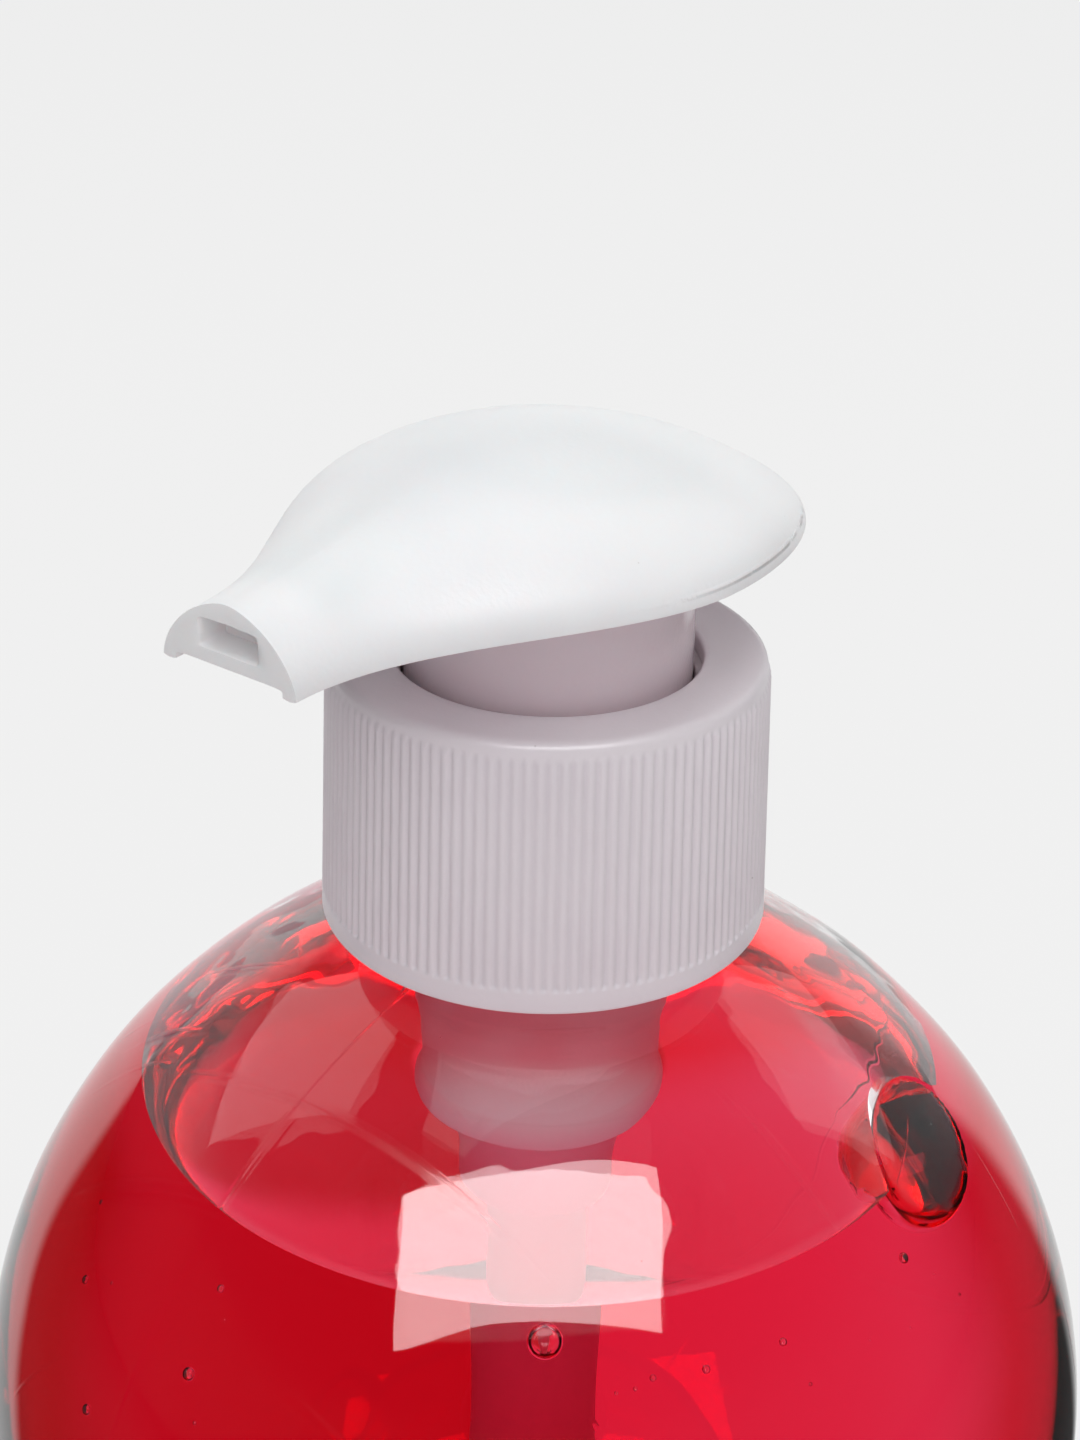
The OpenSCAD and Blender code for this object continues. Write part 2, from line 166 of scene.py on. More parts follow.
def rounded(points, radius, steps=4):
    """A closed outline with every corner cut back by up to radius and bent round."""
    points = np.asarray(points, dtype=float)
    before, after = np.roll(points, 1, axis=0), np.roll(points, -1, axis=0)
    parts = []
    for a, corner, b in zip(before, points, after):
        if corner[0] < 1e-9:
            parts.append(corner[None])
            continue
        into, out = a - corner, b - corner
        near = np.linalg.norm(into), np.linalg.norm(out)
        cut = min(radius, near[0] * 0.45, near[1] * 0.45)
        parts.append(bend(corner + into / near[0] * cut, corner,
                          corner + out / near[1] * cut, steps))
    return np.concatenate(parts)


def turned(name, outline, material, edge=0.15, segments=120):
    """A closed outline in radius and height, turned round the axis."""
    profile = rounded(outline, edge)
    profile = np.concatenate([profile, profile[:1]])
    angle = np.linspace(0, TURN, segments, endpoint=False)
    points = ring_xyz(profile[:, 0, None], profile[:, 1, None], angle[None])
    return make_piece(name, points, grid_faces(len(profile), segments), [material])


# ---- shader expressions
class Value:
    """A number socket. Using it in an expression adds the Math nodes that work it out."""

    def __init__(self, kit, socket):
        self.kit, self.socket = kit, socket

    def math(self, operation, *others):
        return self.kit.maths(operation, self, *others)

    def __add__(self, other): return self.math("ADD", other)
    def __radd__(self, other): return self.kit.maths("ADD", other, self)
    def __sub__(self, other): return self.math("SUBTRACT", other)
    def __rsub__(self, other): return self.kit.maths("SUBTRACT", other, self)
    def __mul__(self, other): return self.math("MULTIPLY", other)
    def __rmul__(self, other): return self.kit.maths("MULTIPLY", other, self)
    def __truediv__(self, other): return self.math("DIVIDE", other)
    def __pow__(self, other): return self.math("POWER", other)
    def __abs__(self): return self.math("ABSOLUTE")


class Shading:
    """The nodes of a material or a world, made by node() and by expressions on Value."""

    def __init__(self, name, world=False):
        self.made = (bpy.data.worlds if world else bpy.data.materials).new(name)
        self.made.use_nodes = True
        self.tree = self.made.node_tree
        self.tree.nodes.clear()
        self.output = self.node("ShaderNodeOutput" + ("World" if world else "Material"))

    def feed(self, socket, value):
        if isinstance(value, Value):
            value = value.socket
        if isinstance(value, bpy.types.NodeSocket):
            self.tree.links.new(value, socket)
        else:
            socket.default_value = value

    def node(self, kind, settings=(), **inputs):
        """A node of a kind: its settings first, then the values or links of its sockets.
        A socket's spaces are written as underscores."""
        node = self.tree.nodes.new(kind)
        for key, value in dict(settings).items():
            setattr(node, key, value)
        for key, value in inputs.items():
            self.feed(node.inputs[key.replace("_", " ")], value)
        return node

    def maths(self, operation, *terms):
        node = self.node("ShaderNodeMath", {"operation": operation})
        for socket, term in zip(node.inputs, terms):
            self.feed(socket, term)
        return Value(self, node.outputs[0])

    def value(self, socket):
        return Value(self, socket)

    def place(self):
        """The place on the piece, in metres."""
        return self.node("ShaderNodeTexCoord").outputs["Object"]

    def noise(self, scale, detail=2.0, at=None, roughness=0.5):
        node = self.node("ShaderNodeTexNoise", Vector=at or self.place(), Scale=scale,
                         Detail=detail, Roughness=roughness)
        return self.value(node.outputs["Fac"])

    def specks(self, scale, size):
        """1 on small round specks, one in some of the cells of a Voronoi pattern."""
        cells = self.node("ShaderNodeTexVoronoi", Vector=self.place(), Scale=scale)
        near = self.value(cells.outputs["Distance"])
        pick = self.node("ShaderNodeSeparateColor", Color=cells.outputs["Color"])
        rare = self.value(pick.outputs[0]).math("GREATER_THAN", 0.72)
        return self.smooth(near, size, 0.0) * rare

    def smooth(self, value, low, high):
        """0 at low, 1 at high, eased between."""
        node = self.node("ShaderNodeMapRange", {"interpolation_type": "SMOOTHSTEP"})
        self.feed(node.inputs["Value"], value)
        if low > high:
            low, high, ends = high, low, (1.0, 0.0)
        else:
            ends = (0.0, 1.0)
        for key, number in zip(("From Min", "From Max", "To Min", "To Max"),
                               (low, high, *ends)):
            node.inputs[key].default_value = number
        return self.value(node.outputs["Result"])

    def mix(self, share, first, second):
        """Between two colours."""
        node = self.node("ShaderNodeMix", {"data_type": "RGBA"})
        self.feed(node.inputs["Factor"], share)
        for socket, colour in zip([s for s in node.inputs if s.type == "RGBA"],
                                  (first, second)):
            self.feed(socket, colour)
        return next(s for s in node.outputs if s.type == "RGBA")

    def blend(self, share, first, second):
        """Between two shaders."""
        node = self.node("ShaderNodeMixShader")
        for socket, value in zip(node.inputs, (share, first, second)):
            self.feed(socket, value)
        return node.outputs[0]

    def along(self, place, direction):
        """How far a place lies along a direction."""
        node = self.node("ShaderNodeVectorMath", {"operation": "DOT_PRODUCT"})
        self.feed(node.inputs[0], place)
        node.inputs[1].default_value = direction
        return self.value(node.outputs["Value"])

    def bump(self, height, distance):
        """A normal from a height between 0 and 1, distance metres high."""
        return self.node("ShaderNodeBump", Height=height, Distance=distance,
                         Strength=1.0).outputs["Normal"]

    def surface(self, shader):
        self.feed(self.output.inputs["Surface"], shader)
        return self.made


def rgb(red, green, blue):
    """An 8-bit display colour as linear light."""
    return tuple(((c / 255 + 0.055) / 1.055) ** 2.4 if c > 10 else c / 255 / 12.92
                 for c in (red, green, blue)) + (1.0,)


def moulded_look(m, colour, shade, gloss, speck, share, dirt):
    """Colour, roughness and rub marks of moulded plastic: faint flow clouds, dust specks
    and a gloss that is rubbed in patches."""
    clouds = m.noise(45.0, 3.0)
    rub = m.noise(320.0, 4.0, roughness=0.7)
    base = m.mix(m.smooth(clouds, 0.35, 0.7), colour, shade)
    base = m.mix(m.specks(420.0, speck) * share, base, dirt)
    rough = gloss + m.smooth(rub, 0.5, 0.75) * 0.1 + (clouds - 0.5) * 0.06
    return base, rough, rub


def moulded_plastic(name, colour, shade, gloss, grain=0.00002, groove_shade=0.0):
    """Satin moulded plastic with a fine skin. Its hollows between ribs, where it has them,
    are darker: painted shade.
    """
    m = Shading(name)
    base, rough, _ = moulded_look(m, colour, shade, gloss, 0.05, 0.5, rgb(150, 140, 135))
    if groove_shade:
        depth = m.value(m.node("ShaderNodeAttribute", {"attribute_name": "groove_shade"})
                        .outputs["Fac"])
        # Painted shade: darker the deeper the hollow between the ribs.
        base = m.mix(depth * groove_shade, base, rgb(146, 136, 148))
    skin = m.noise(2600.0, 2.0)
    return m.surface(m.node("ShaderNodeBsdfPrincipled", Base_Color=base, Roughness=rough,
                            IOR=MOULDED_INDEX, Normal=m.bump(skin, grain)).outputs[0])


def head_plastic(name, colour, shade):
    """The head's plastic, which lets a little light in: satin on the crown, polished on the
    skirt, whose colour is pinker: painted pink light from the red soap. A thin moulding
    flash runs a little above the drooping rim, its line drawn a little darker: painted
    shade in its crease."""
    m = Shading(name)
    base, rough, rub = moulded_look(m, colour, shade, 0.30, 0.04, 0.35, rgb(170, 160, 155))
    place = m.node("ShaderNodeSeparateXYZ", Vector=m.place())
    y, z = m.value(place.outputs["Y"]), m.value(place.outputs["Z"])
    along = (HEAD_BACK * MM - y) / ((HEAD_FRONT + HEAD_BACK) * MM)
    rim = (RIM_Z * MM - (1.0 - along) ** 2.0 * (TAIL_DROOP * MM)
           - along ** 2.0 * (NOZZLE_DROOP * MM))
    flash = (m.smooth(abs(z - rim - FLASH_RISE * MM), 0.00022, 0.0)
             * m.smooth(rub, 0.35, 0.55) * m.smooth(y, -0.012, 0.004))
    skirt = m.smooth(z - rim, 0.0002, -0.0008)
    # Painted shade: the flash line drawn darker along its crease. Painted pink light: the
    # skirt drawn pinker, for the red soap's light.
    base = m.mix(flash * 0.25, base, rgb(190, 170, 165))
    base = m.mix(skirt, base, rgb(242, 222, 228))
    skin = m.noise(2600.0, 2.0)
    shader = m.node("ShaderNodeBsdfPrincipled", Base_Color=base,
                    Roughness=rough - skirt * 0.2, IOR=MOULDED_INDEX,
                    Normal=m.bump(skin * 0.1 + flash, 0.00020))
    shader.inputs["Subsurface Weight"].default_value = 0.3
    shader.inputs["Subsurface Scale"].default_value = 0.003
    shader.inputs["Subsurface Radius"].default_value = (1.0, 0.65, 0.6)
    return m.surface(shader.outputs[0])


def clear_plastic(name, ior, film=False):
    """Clear blown plastic of the given index: mould seams, hair scratches, dust. Without a
    film it is painted red where it is seen edge-on below the soap's level: painted red
    light from the soap. With a film, its inside is wet with soap that has run down in
    streaks, laid on the side away from the camera and high up, where its red is partly
    painted red light from the soap."""
    m = Shading(name)
    place = m.place()
    seam = m.along(place, (math.cos(SEAM_ANGLE), math.sin(SEAM_ANGLE), 0))
    ridge = m.smooth(abs(seam), 0.00035, 0.0)
    stretched = m.node("ShaderNodeMapping", Vector=place)
    stretched.inputs["Rotation"].default_value = (0.4, 0.9, 0.6)
    stretched.inputs["Scale"].default_value = (26.0, 900.0, 40.0)
    hairs = m.smooth(m.noise(1.0, 1.0, stretched.outputs[0]), 0.70, 0.74)
    wave = m.noise(38.0, 1.0)
    height = ridge * 0.3 + hairs * 0.05 + wave * 0.5
    rough = 0.02 + hairs * 0.12 + m.specks(300.0, 0.05) * 0.4
    z = m.value(m.node("ShaderNodeSeparateXYZ", Vector=place).outputs["Z"])
    # Painted red light: the wall turns red where it is seen edge-on below the soap's level.
    facing = m.value(m.node("ShaderNodeLayerWeight", Blend=0.5).outputs["Facing"])
    clear = rgb(253, 252, 253)
    colour = m.mix(m.smooth(facing, 0.28, 0.55) * m.smooth(z, 0.067, 0.062), clear,
                   (0.60, 0.04, 0.08, 1))
    if film:
        streak = m.node("ShaderNodeMapping", Vector=place)
        streak.inputs["Scale"].default_value = (110.0, 110.0, 25.0)
        thick = m.smooth(m.noise(1.0, 2.0, streak.outputs[0]), 0.3, 0.7)
        # The film lies on the side away from the camera and high up: a soap film, partly
        # painted red light from the soap seen there.
        high = m.smooth(m.along(place, AWAY) + (z - 0.069) * 4.0, -0.004, 0.012)
        colour = m.mix(high, clear, m.mix(thick, (0.97, 0.13, 0.17, 1),
                                          (0.95, 0.05, 0.08, 1)))
        height = wave * 0.3 + thick * 0.5
    glass = m.node("ShaderNodeBsdfPrincipled", Base_Color=colour,
                   Roughness=rough, Normal=m.bump(height, 0.00012))
    glass.inputs["Transmission Weight"].default_value = 1.0
    glass.inputs["IOR"].default_value = ior
    return lets_lamps_in(m, glass, rgb(250, 246, 247))


def lets_lamps_in(m, shader, tint):
    """Lamps and diffuse bounces pass straight through, and the eye sees the shader."""
    path = m.node("ShaderNodeLightPath")
    through = m.value(path.outputs["Is Shadow Ray"]).math(
        "MAXIMUM", m.value(path.outputs["Is Diffuse Ray"]))
    open_way = m.node("ShaderNodeBsdfTransparent", Color=tint)
    return m.surface(m.blend(through, shader.outputs[0], open_way.outputs[0]))


SEAM_ANGLE = math.radians(-9.5)
CAMERA_ANGLE = math.radians(37.0)
AWAY = (-math.sin(CAMERA_ANGLE), math.cos(CAMERA_ANGLE), 0)  # from the camera
MOULDED_INDEX = 1.49
PLASTIC_INDEX = 1.54
SOAP_INDEX = 1.37
SOAP_RED = (0.972, 0.03, 0.31, 1.0)
SOAP_DENSITY = 53.0


def soap_volume():
    """The red of the soap: light is absorbed on its way through, green most of all."""
    m = Shading("soap_red")
    body = m.node("ShaderNodeBsdfPrincipled", Base_Color=(1, 1, 1, 1), Roughness=0.0)
    body.inputs["Transmission Weight"].default_value = 1.0
    body.inputs["IOR"].default_value = 1.0005
    dye = m.node("ShaderNodeVolumeAbsorption")
    dye.inputs["Color"].default_value = SOAP_RED
    dye.inputs["Density"].default_value = SOAP_DENSITY
    m.feed(m.output.inputs["Volume"], dye.outputs[0])
    return lets_lamps_in(m, body, (1, 1, 1, 1))


def soap_skin(name, colour):
    """The soap's free surface: a still, clear liquid face."""
    m = Shading(name)
    ripple = m.noise(60.0, 1.0)
    face = m.node("ShaderNodeBsdfPrincipled", Base_Color=colour,
                  Roughness=0.0, Normal=m.bump(ripple, 0.00006))
    face.inputs["Transmission Weight"].default_value = 1.0
    face.inputs["IOR"].default_value = SOAP_INDEX
    return lets_lamps_in(m, face, (1, 1, 1, 1))


def steel(name, shade, rough):
    """Drawn or ground steel: fine streaks on the gloss."""
    m = Shading(name)
    streak = m.noise(900.0, 3.0)
    return m.surface(m.node("ShaderNodeBsdfPrincipled",
                            Base_Color=m.mix(streak, shade, rgb(225, 226, 228)),
                            Roughness=rough + streak * 0.12, Metallic=1.0,
                            Normal=m.bump(streak, 0.000004)).outputs[0])


COLLAR_WHITE = moulded_plastic("collar_white", rgb(243, 237, 242), rgb(238, 231, 237), 0.34,
                               groove_shade=0.12)
MILKY = moulded_plastic("milky_plastic", rgb(236, 228, 230), rgb(230, 222, 224), 0.38)
TUBE = moulded_plastic("tube_plastic", rgb(232, 224, 226), rgb(226, 218, 220), 0.42)
SEAL = moulded_plastic("seal_plastic", rgb(222, 232, 238), rgb(214, 226, 234), 0.45)
FOAM = moulded_plastic("gasket_foam", rgb(232, 231, 228), rgb(224, 223, 220), 0.8, 0.0001)
DRY_PLASTIC = clear_plastic("clear_plastic", PLASTIC_INDEX)
WET_PLASTIC = clear_plastic("clear_plastic_wetted", PLASTIC_INDEX / SOAP_INDEX)
FILM_AND_RED_LIGHT_PLASTIC = clear_plastic("clear_plastic_film_and_red_light", PLASTIC_INDEX, film=True)
SOAP_BODY = soap_volume()
SOAP_SKIN = soap_skin("soap_skin", rgb(255, 250, 250))
BUBBLE_SKIN = soap_skin("soap_bubble", (0.97, 0.13, 0.18, 1.0))
SPRING_STEEL = steel("spring_steel", rgb(168, 170, 174), 0.24)
BALL_STEEL = steel("ball_steel", rgb(192, 194, 198), 0.08)


# ---- the bottle and the soap in it
def body_point(t, inset):
    """The body's curve at angle t: radius a cos(t)^(2/n), height b sin(t)^(2/n)."""
    power = 2 / BODY_POWER
    return ((BODY_R - inset) * np.cos(t) ** power,
            BELLY_Z + np.sign(t) * (BODY_RISE - inset) * np.abs(np.sin(t)) ** power)


def body_angle_at_radius(radius, inset):
    return np.arccos((radius / (BODY_R - inset)) ** (BODY_POWER / 2))


def body_angle_at_height(z, inset):
    share = np.abs(z - BELLY_Z) / (BODY_RISE - inset)
    return np.sign(z - BELLY_Z) * np.arcsin(share ** (BODY_POWER / 2))


def body_radius(z, inset):
    return body_point(body_angle_at_height(z, inset), inset)[0]


def base_curve(inset, floor):
    """From the axis over the push-up and the foot ring, round the heel to the body."""
    ring = FOOT_R - FOOT_W
    u = np.linspace(0, 1, 13)[:, None]
    dome = np.concatenate([ring * u, floor + PUSH_UP * (1 - u ** 2)], axis=1)
    t = body_angle_at_height(HEEL_H + floor, inset)
    heel = np.array(body_point(t, inset))
    ahead = np.array(body_point(t + 0.01, inset))
    slope = (ahead[0] - heel[0]) / (ahead[1] - heel[1])
    corner = np.array([heel[0] - (heel[1] - floor) * slope, floor])
    foot = np.array([FOOT_R - inset, floor])
    return np.concatenate([dome[:-1], bend(dome[-1], dome[-1] + [0.5, 0], foot, 3),
                           bend(foot, corner, heel, 8)[1:]]), t


def neck_curve(inset, radius):
    """From the shoulder up through the fillet to the neck; returns its start angle too."""
    t = body_angle_at_radius(radius + NECK_FILLET, inset)
    shoulder = np.array(body_point(t, inset))
    ahead = np.array(body_point(t + 0.01, inset))
    slope = (ahead[0] - shoulder[0]) / (ahead[1] - shoulder[1])
    corner = np.array([radius, shoulder[1] - NECK_FILLET / slope])
    return bend(shoulder, corner, corner + [0, NECK_FILLET], 8), t


def thread_ridge(angle, z, start, turns, half_width, flank):
    """1 on the crest of a ridge that climbs along a helix from a height, 0 beside it,
    and faded in and out at its ends."""
    ridge = np.zeros(np.broadcast(angle, z).shape)
    from_start = np.mod(angle - TURN / 4, TURN) / TURN
    for turn in range(2):
        along = from_start + turn
        off = np.abs(z - start - along * THREAD_PITCH)
        ends = np.clip(np.minimum(along, turns - along) / 0.2, 0, 1)
        ridge = np.maximum(ridge, np.clip((half_width - off) / flank, 0, 1) * ends)
    return ridge


def thread_rise(angle, z):
    """How far the neck's thread stands out at an angle and height."""
    start = NECK_TOP - 2.4 - THREAD_TURNS * THREAD_PITCH
    return (THREAD_R - NECK_R) * thread_ridge(angle, z, start, THREAD_TURNS, 1.1, 0.65)


def wobble(angle, z):
    """Blown plastic is never quite true: slow waves on the shoulder, inwards only."""
    high = np.clip((z - 52) / 12, 0, 1) * np.clip((NECK_TOP - 19 - z) / 4, 0, 1)
    waves = (np.sin(3 * angle + 0.23 * z) + np.sin(5 * angle - 0.31 * z + 1.3)
             + 0.6 * np.sin(9 * angle + 0.5 * z))
    return high * 0.07 * (waves - 2.6)


# The big bubble that is caught between the soap's surface and the shoulder, and how the
# soap climbs at the wall
BUBBLE_ANGLE = math.radians(106)
BUBBLE_R = 30.0
BUBBLE_Z = 63.8
BUBBLE_HALF = np.array([4.6, 6.6, 5.6])  # across, along the wall, up
BUBBLE_FILM = 0.5
MENISCUS, MENISCUS_REACH = 0.9, 1.0


def around(angle, centre):
    """The signed angle from centre."""
    return np.mod(angle - centre + math.pi, TURN) - math.pi


def over_bubble(radius, angle):
    """How far inside the big bubble's plan ellipse a point is: 1 at its middle, 0 on it."""
    across, along, _ = BUBBLE_HALF + BUBBLE_FILM
    return (1 - ((radius - BUBBLE_R) / across) ** 2
            - (around(angle, BUBBLE_ANGLE) * BUBBLE_R / along) ** 2)


def soap_height(radius, angle, wall_radius):
    """The free surface: level, with a meniscus at the wall and at the pump that falls off
    exponentially, and an ellipsoid cap over the big bubble."""
    level = (SOAP_Z + MENISCUS * np.exp(-(wall_radius - radius) / MENISCUS_REACH)
             + 0.6 * np.exp(-np.clip(radius - CHAMBER_R, 0, None) / 0.8))
    inside = over_bubble(radius, angle)
    up = BUBBLE_HALF[2] + BUBBLE_FILM
    cap = np.where(inside > 0, BUBBLE_Z + up * np.sqrt(np.clip(inside, 0, 1)), SOAP_Z - 9)
    soft = 0.35
    return np.maximum(level, cap) + soft * np.exp(-np.abs(level - cap) / soft) / 2


SEGMENTS = 240
ANGLE = np.linspace(0, TURN, SEGMENTS, endpoint=False)


def contact_line():
    """Radius and height of the soap's edge on the wall, by halving the interval."""
    low, high = np.full(SEGMENTS, 20.0), np.full(SEGMENTS, body_radius(SOAP_Z - 1.0, WALL))
    for _ in range(40):
        middle = (low + high) / 2
        roof = body_point(body_angle_at_radius(middle, WALL), WALL)[1]
        under = roof > soap_height(middle, ANGLE, middle)
        low, high = np.where(under, middle, low), np.where(under, high, middle)
    return low, body_point(body_angle_at_radius(low, WALL), WALL)[1]


EDGE_R, EDGE_Z = contact_line()


def bottle_piece():
    """The bottle: outside up to the neck's land, bore and inside down to the floor. The
    inside's rows follow the soap's edge, so that the wetted wall has its own index."""
    base, t_heel = base_curve(0, 0)
    neck, t_neck = neck_curve(0, NECK_R)
    body = np.stack(body_point(np.linspace(t_heel, t_neck, 90), 0), axis=1)
    tall = np.linspace(neck[-1][1], NECK_TOP - 0.4, 70)[1:]
    shaft = np.stack([np.full_like(tall, NECK_R), tall], axis=1)
    lip = np.concatenate([bend([NECK_R, NECK_TOP - 0.4], [NECK_R, NECK_TOP],
                               [NECK_R - 0.4, NECK_TOP], 4)[1:],
                          bend([BORE_R + 0.4, NECK_TOP], [BORE_R, NECK_TOP],
                               [BORE_R, NECK_TOP - 0.4], 4)])
    inner_neck, t_in = neck_curve(WALL, BORE_R)
    outside = np.concatenate([base, body[1:], neck[1:], shaft, lip, inner_neck[::-1]])
    radius = np.repeat(outside[:, :1], SEGMENTS, axis=1)
    z = np.repeat(outside[:, 1:], SEGMENTS, axis=1)
    on_body = slice(len(base), len(base) + len(body) - 1)
    on_neck = slice(on_body.stop + len(neck) - 1, on_body.stop + len(neck) - 1 + len(shaft))
    radius[on_body] += wobble(ANGLE[None], z[on_body])
    radius[on_neck] += thread_rise(ANGLE[None], z[on_neck])
    t_edge = body_angle_at_radius(EDGE_R, WALL)
    inner_base, t_floor = base_curve(WALL, BASE_WALL)
    share = np.linspace(0, 1, 40)[1:, None]
    dry = body_point(t_in + (t_edge - t_in) * share, WALL)
    share = np.linspace(0, 1, 100)[1:, None]
    wet = body_point(t_edge + (t_floor - t_edge) * share, WALL)
    floor = inner_base[::-1][1:]
    rows = [radius, dry[0], wet[0], np.repeat(floor[:, :1], SEGMENTS, axis=1)]
    heights = [z, dry[1], wet[1], np.repeat(floor[:, 1:], SEGMENTS, axis=1)]
    radius, z = np.concatenate(rows), np.concatenate(heights)
    faces = grid_faces(len(radius), SEGMENTS)
    row = np.repeat(np.arange(len(radius) - 1), SEGMENTS)
    wetted = row >= len(rows[0]) + len(rows[1]) - 1
    filmed = (row >= on_neck.stop + len(lip)) & ~wetted
    return make_piece("bottle_shell", ring_xyz(radius, z, ANGLE[None]), faces,
                      [DRY_PLASTIC, WET_PLASTIC, FILM_AND_RED_LIGHT_PLASTIC], wetted + 2 * filmed)


def soap_top(lowered):
    """Rows of the free surface from the wall to the pump, closer at both ends."""
    u = np.linspace(0, 1, 90)[:, None]
    u = u - np.sin(TURN * u) / TURN * 0.85
    radius = EDGE_R + (CHAMBER_R - 0.4 - EDGE_R) * u
    z = soap_height(radius, ANGLE[None], EDGE_R) - lowered
    z[0] = EDGE_Z - lowered
    return radius, z


FILM = 0.03  # the gap that keeps the body's faces off the wall's and the skin's


def soap_pieces():
    """The soap as a body that colours the light, and over it the face that bends it."""
    base, t_floor = base_curve(WALL + FILM, BASE_WALL + FILM)
    t_edge = body_angle_at_radius(EDGE_R, WALL)
    share = np.linspace(0, 1, 100)[1:-1, None]
    side = body_point(t_floor + (t_edge - t_floor) * share, WALL + FILM)
    top_r, top_z = soap_top(FILM)
    top_r = np.minimum(top_r, EDGE_R - FILM)
    radius = np.concatenate([np.repeat(base[:, :1], SEGMENTS, axis=1), side[0], top_r,
                             np.zeros((1, SEGMENTS))])
    z = np.concatenate([np.repeat(base[:, 1:], SEGMENTS, axis=1), side[1], top_z,
                        top_z[-1:]])
    body = make_piece("soap_body", ring_xyz(radius, z, ANGLE[None]),
                      grid_faces(len(radius), SEGMENTS), [SOAP_BODY])
    skin_r, skin_z = soap_top(0.0)
    skin = ring_xyz(skin_r, skin_z, ANGLE[None])
    points, faces = [skin.reshape(-1, 3)], [grid_faces(len(skin_r), SEGMENTS)]
    cap = over_bubble((skin_r[:-1] + skin_r[1:]) / 2, ANGLE[None]) > 0
    slots = [cap.ravel().astype(int)]
    count = skin.size // 3
    for centre, half, spin, fine in bubbles():
        ball, quads = bubble_mesh(centre, half, spin, fine)
        reach = np.hypot(ball[:, 0], ball[:, 1])
        ball[:, :2] *= np.minimum(1, (body_radius(ball[:, 2], WALL) - 0.15) / reach)[:, None]
        points.append(ball)
        faces.append(quads + count)
        slots.append(np.full(len(quads), int(half is BUBBLE_HALF)))
        count += len(ball)
    skin = make_piece("soap_surface", np.concatenate(points), np.concatenate(faces),
                      [SOAP_SKIN, BUBBLE_SKIN], np.concatenate(slots))
    return body, skin


def bubble_mesh(centre, half, spin, fine):
    """An ellipsoid hollow in the soap: its faces look inwards, out of the liquid."""
    latitude = np.linspace(-math.pi / 2, math.pi / 2, fine // 2 + 1)[:, None]
    longitude = np.linspace(0, TURN, fine, endpoint=False)[None]
    local = np.stack([np.cos(latitude) * np.cos(longitude),
                      np.cos(latitude) * np.sin(longitude),
                      np.repeat(np.sin(latitude), fine, axis=1)], axis=-1) * half
    c, s = math.cos(spin), math.sin(spin)
    turned_xy = local @ np.array([[c, s, 0], [-s, c, 0], [0, 0, 1]])
    quads = grid_faces(fine // 2 + 1, fine)[:, ::-1]
    return turned_xy.reshape(-1, 3) + centre, quads


# Bubbles that stick to the inside of the wall: angle in degrees, height, radius
WALL_BUBBLES = [(38.4, 63.4, 1.25), (89.0, 62.3, 0.42), (-3.2, 57.0, 0.5),
                (-3.8, 62.2, 0.3), (-24.3, 56.6, 0.35), (-15.0, 50.5, 0.42),
                (67.4, 61.8, 0.3), (57.2, 61.6, 0.3), (50.8, 61.7, 0.24),
                (48.6, 61.3, 0.16), (46.4, 61.2, 0.14), (-30.0, 60.4, 0.2)]
LOOSE_BUBBLES = 26


def bubbles():
    """Centre, half axes, turn and fineness of each bubble."""
    yield (ring_xyz(BUBBLE_R, BUBBLE_Z, BUBBLE_ANGLE), BUBBLE_HALF, BUBBLE_ANGLE - TURN / 4,
           64)
    for degrees, z, size in WALL_BUBBLES:
        angle = math.radians(degrees)
        radius = body_radius(z, WALL) - size * 1.02 - 0.1
        yield ring_xyz(radius, z, angle), np.full(3, size), 0.0, 28
    draw = np.random.default_rng(7)
    for _ in range(LOOSE_BUBBLES):
        angle, z = draw.uniform(0, TURN), draw.uniform(20, 62)
        size = draw.uniform(0.06, 0.2)
        radius = body_radius(z, WALL) - size - draw.uniform(0.1, 2.5)
        yield ring_xyz(radius, z, angle), np.full(3, size), 0.0, 12


bottle_shell = bottle_piece()
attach(bottle_shell, "bottle")
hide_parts("bottle")
soap_body, soap_surface = soap_pieces()
for soap in (soap_body, soap_surface):
    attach(soap, "bottle")
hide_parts("liquid_soap")


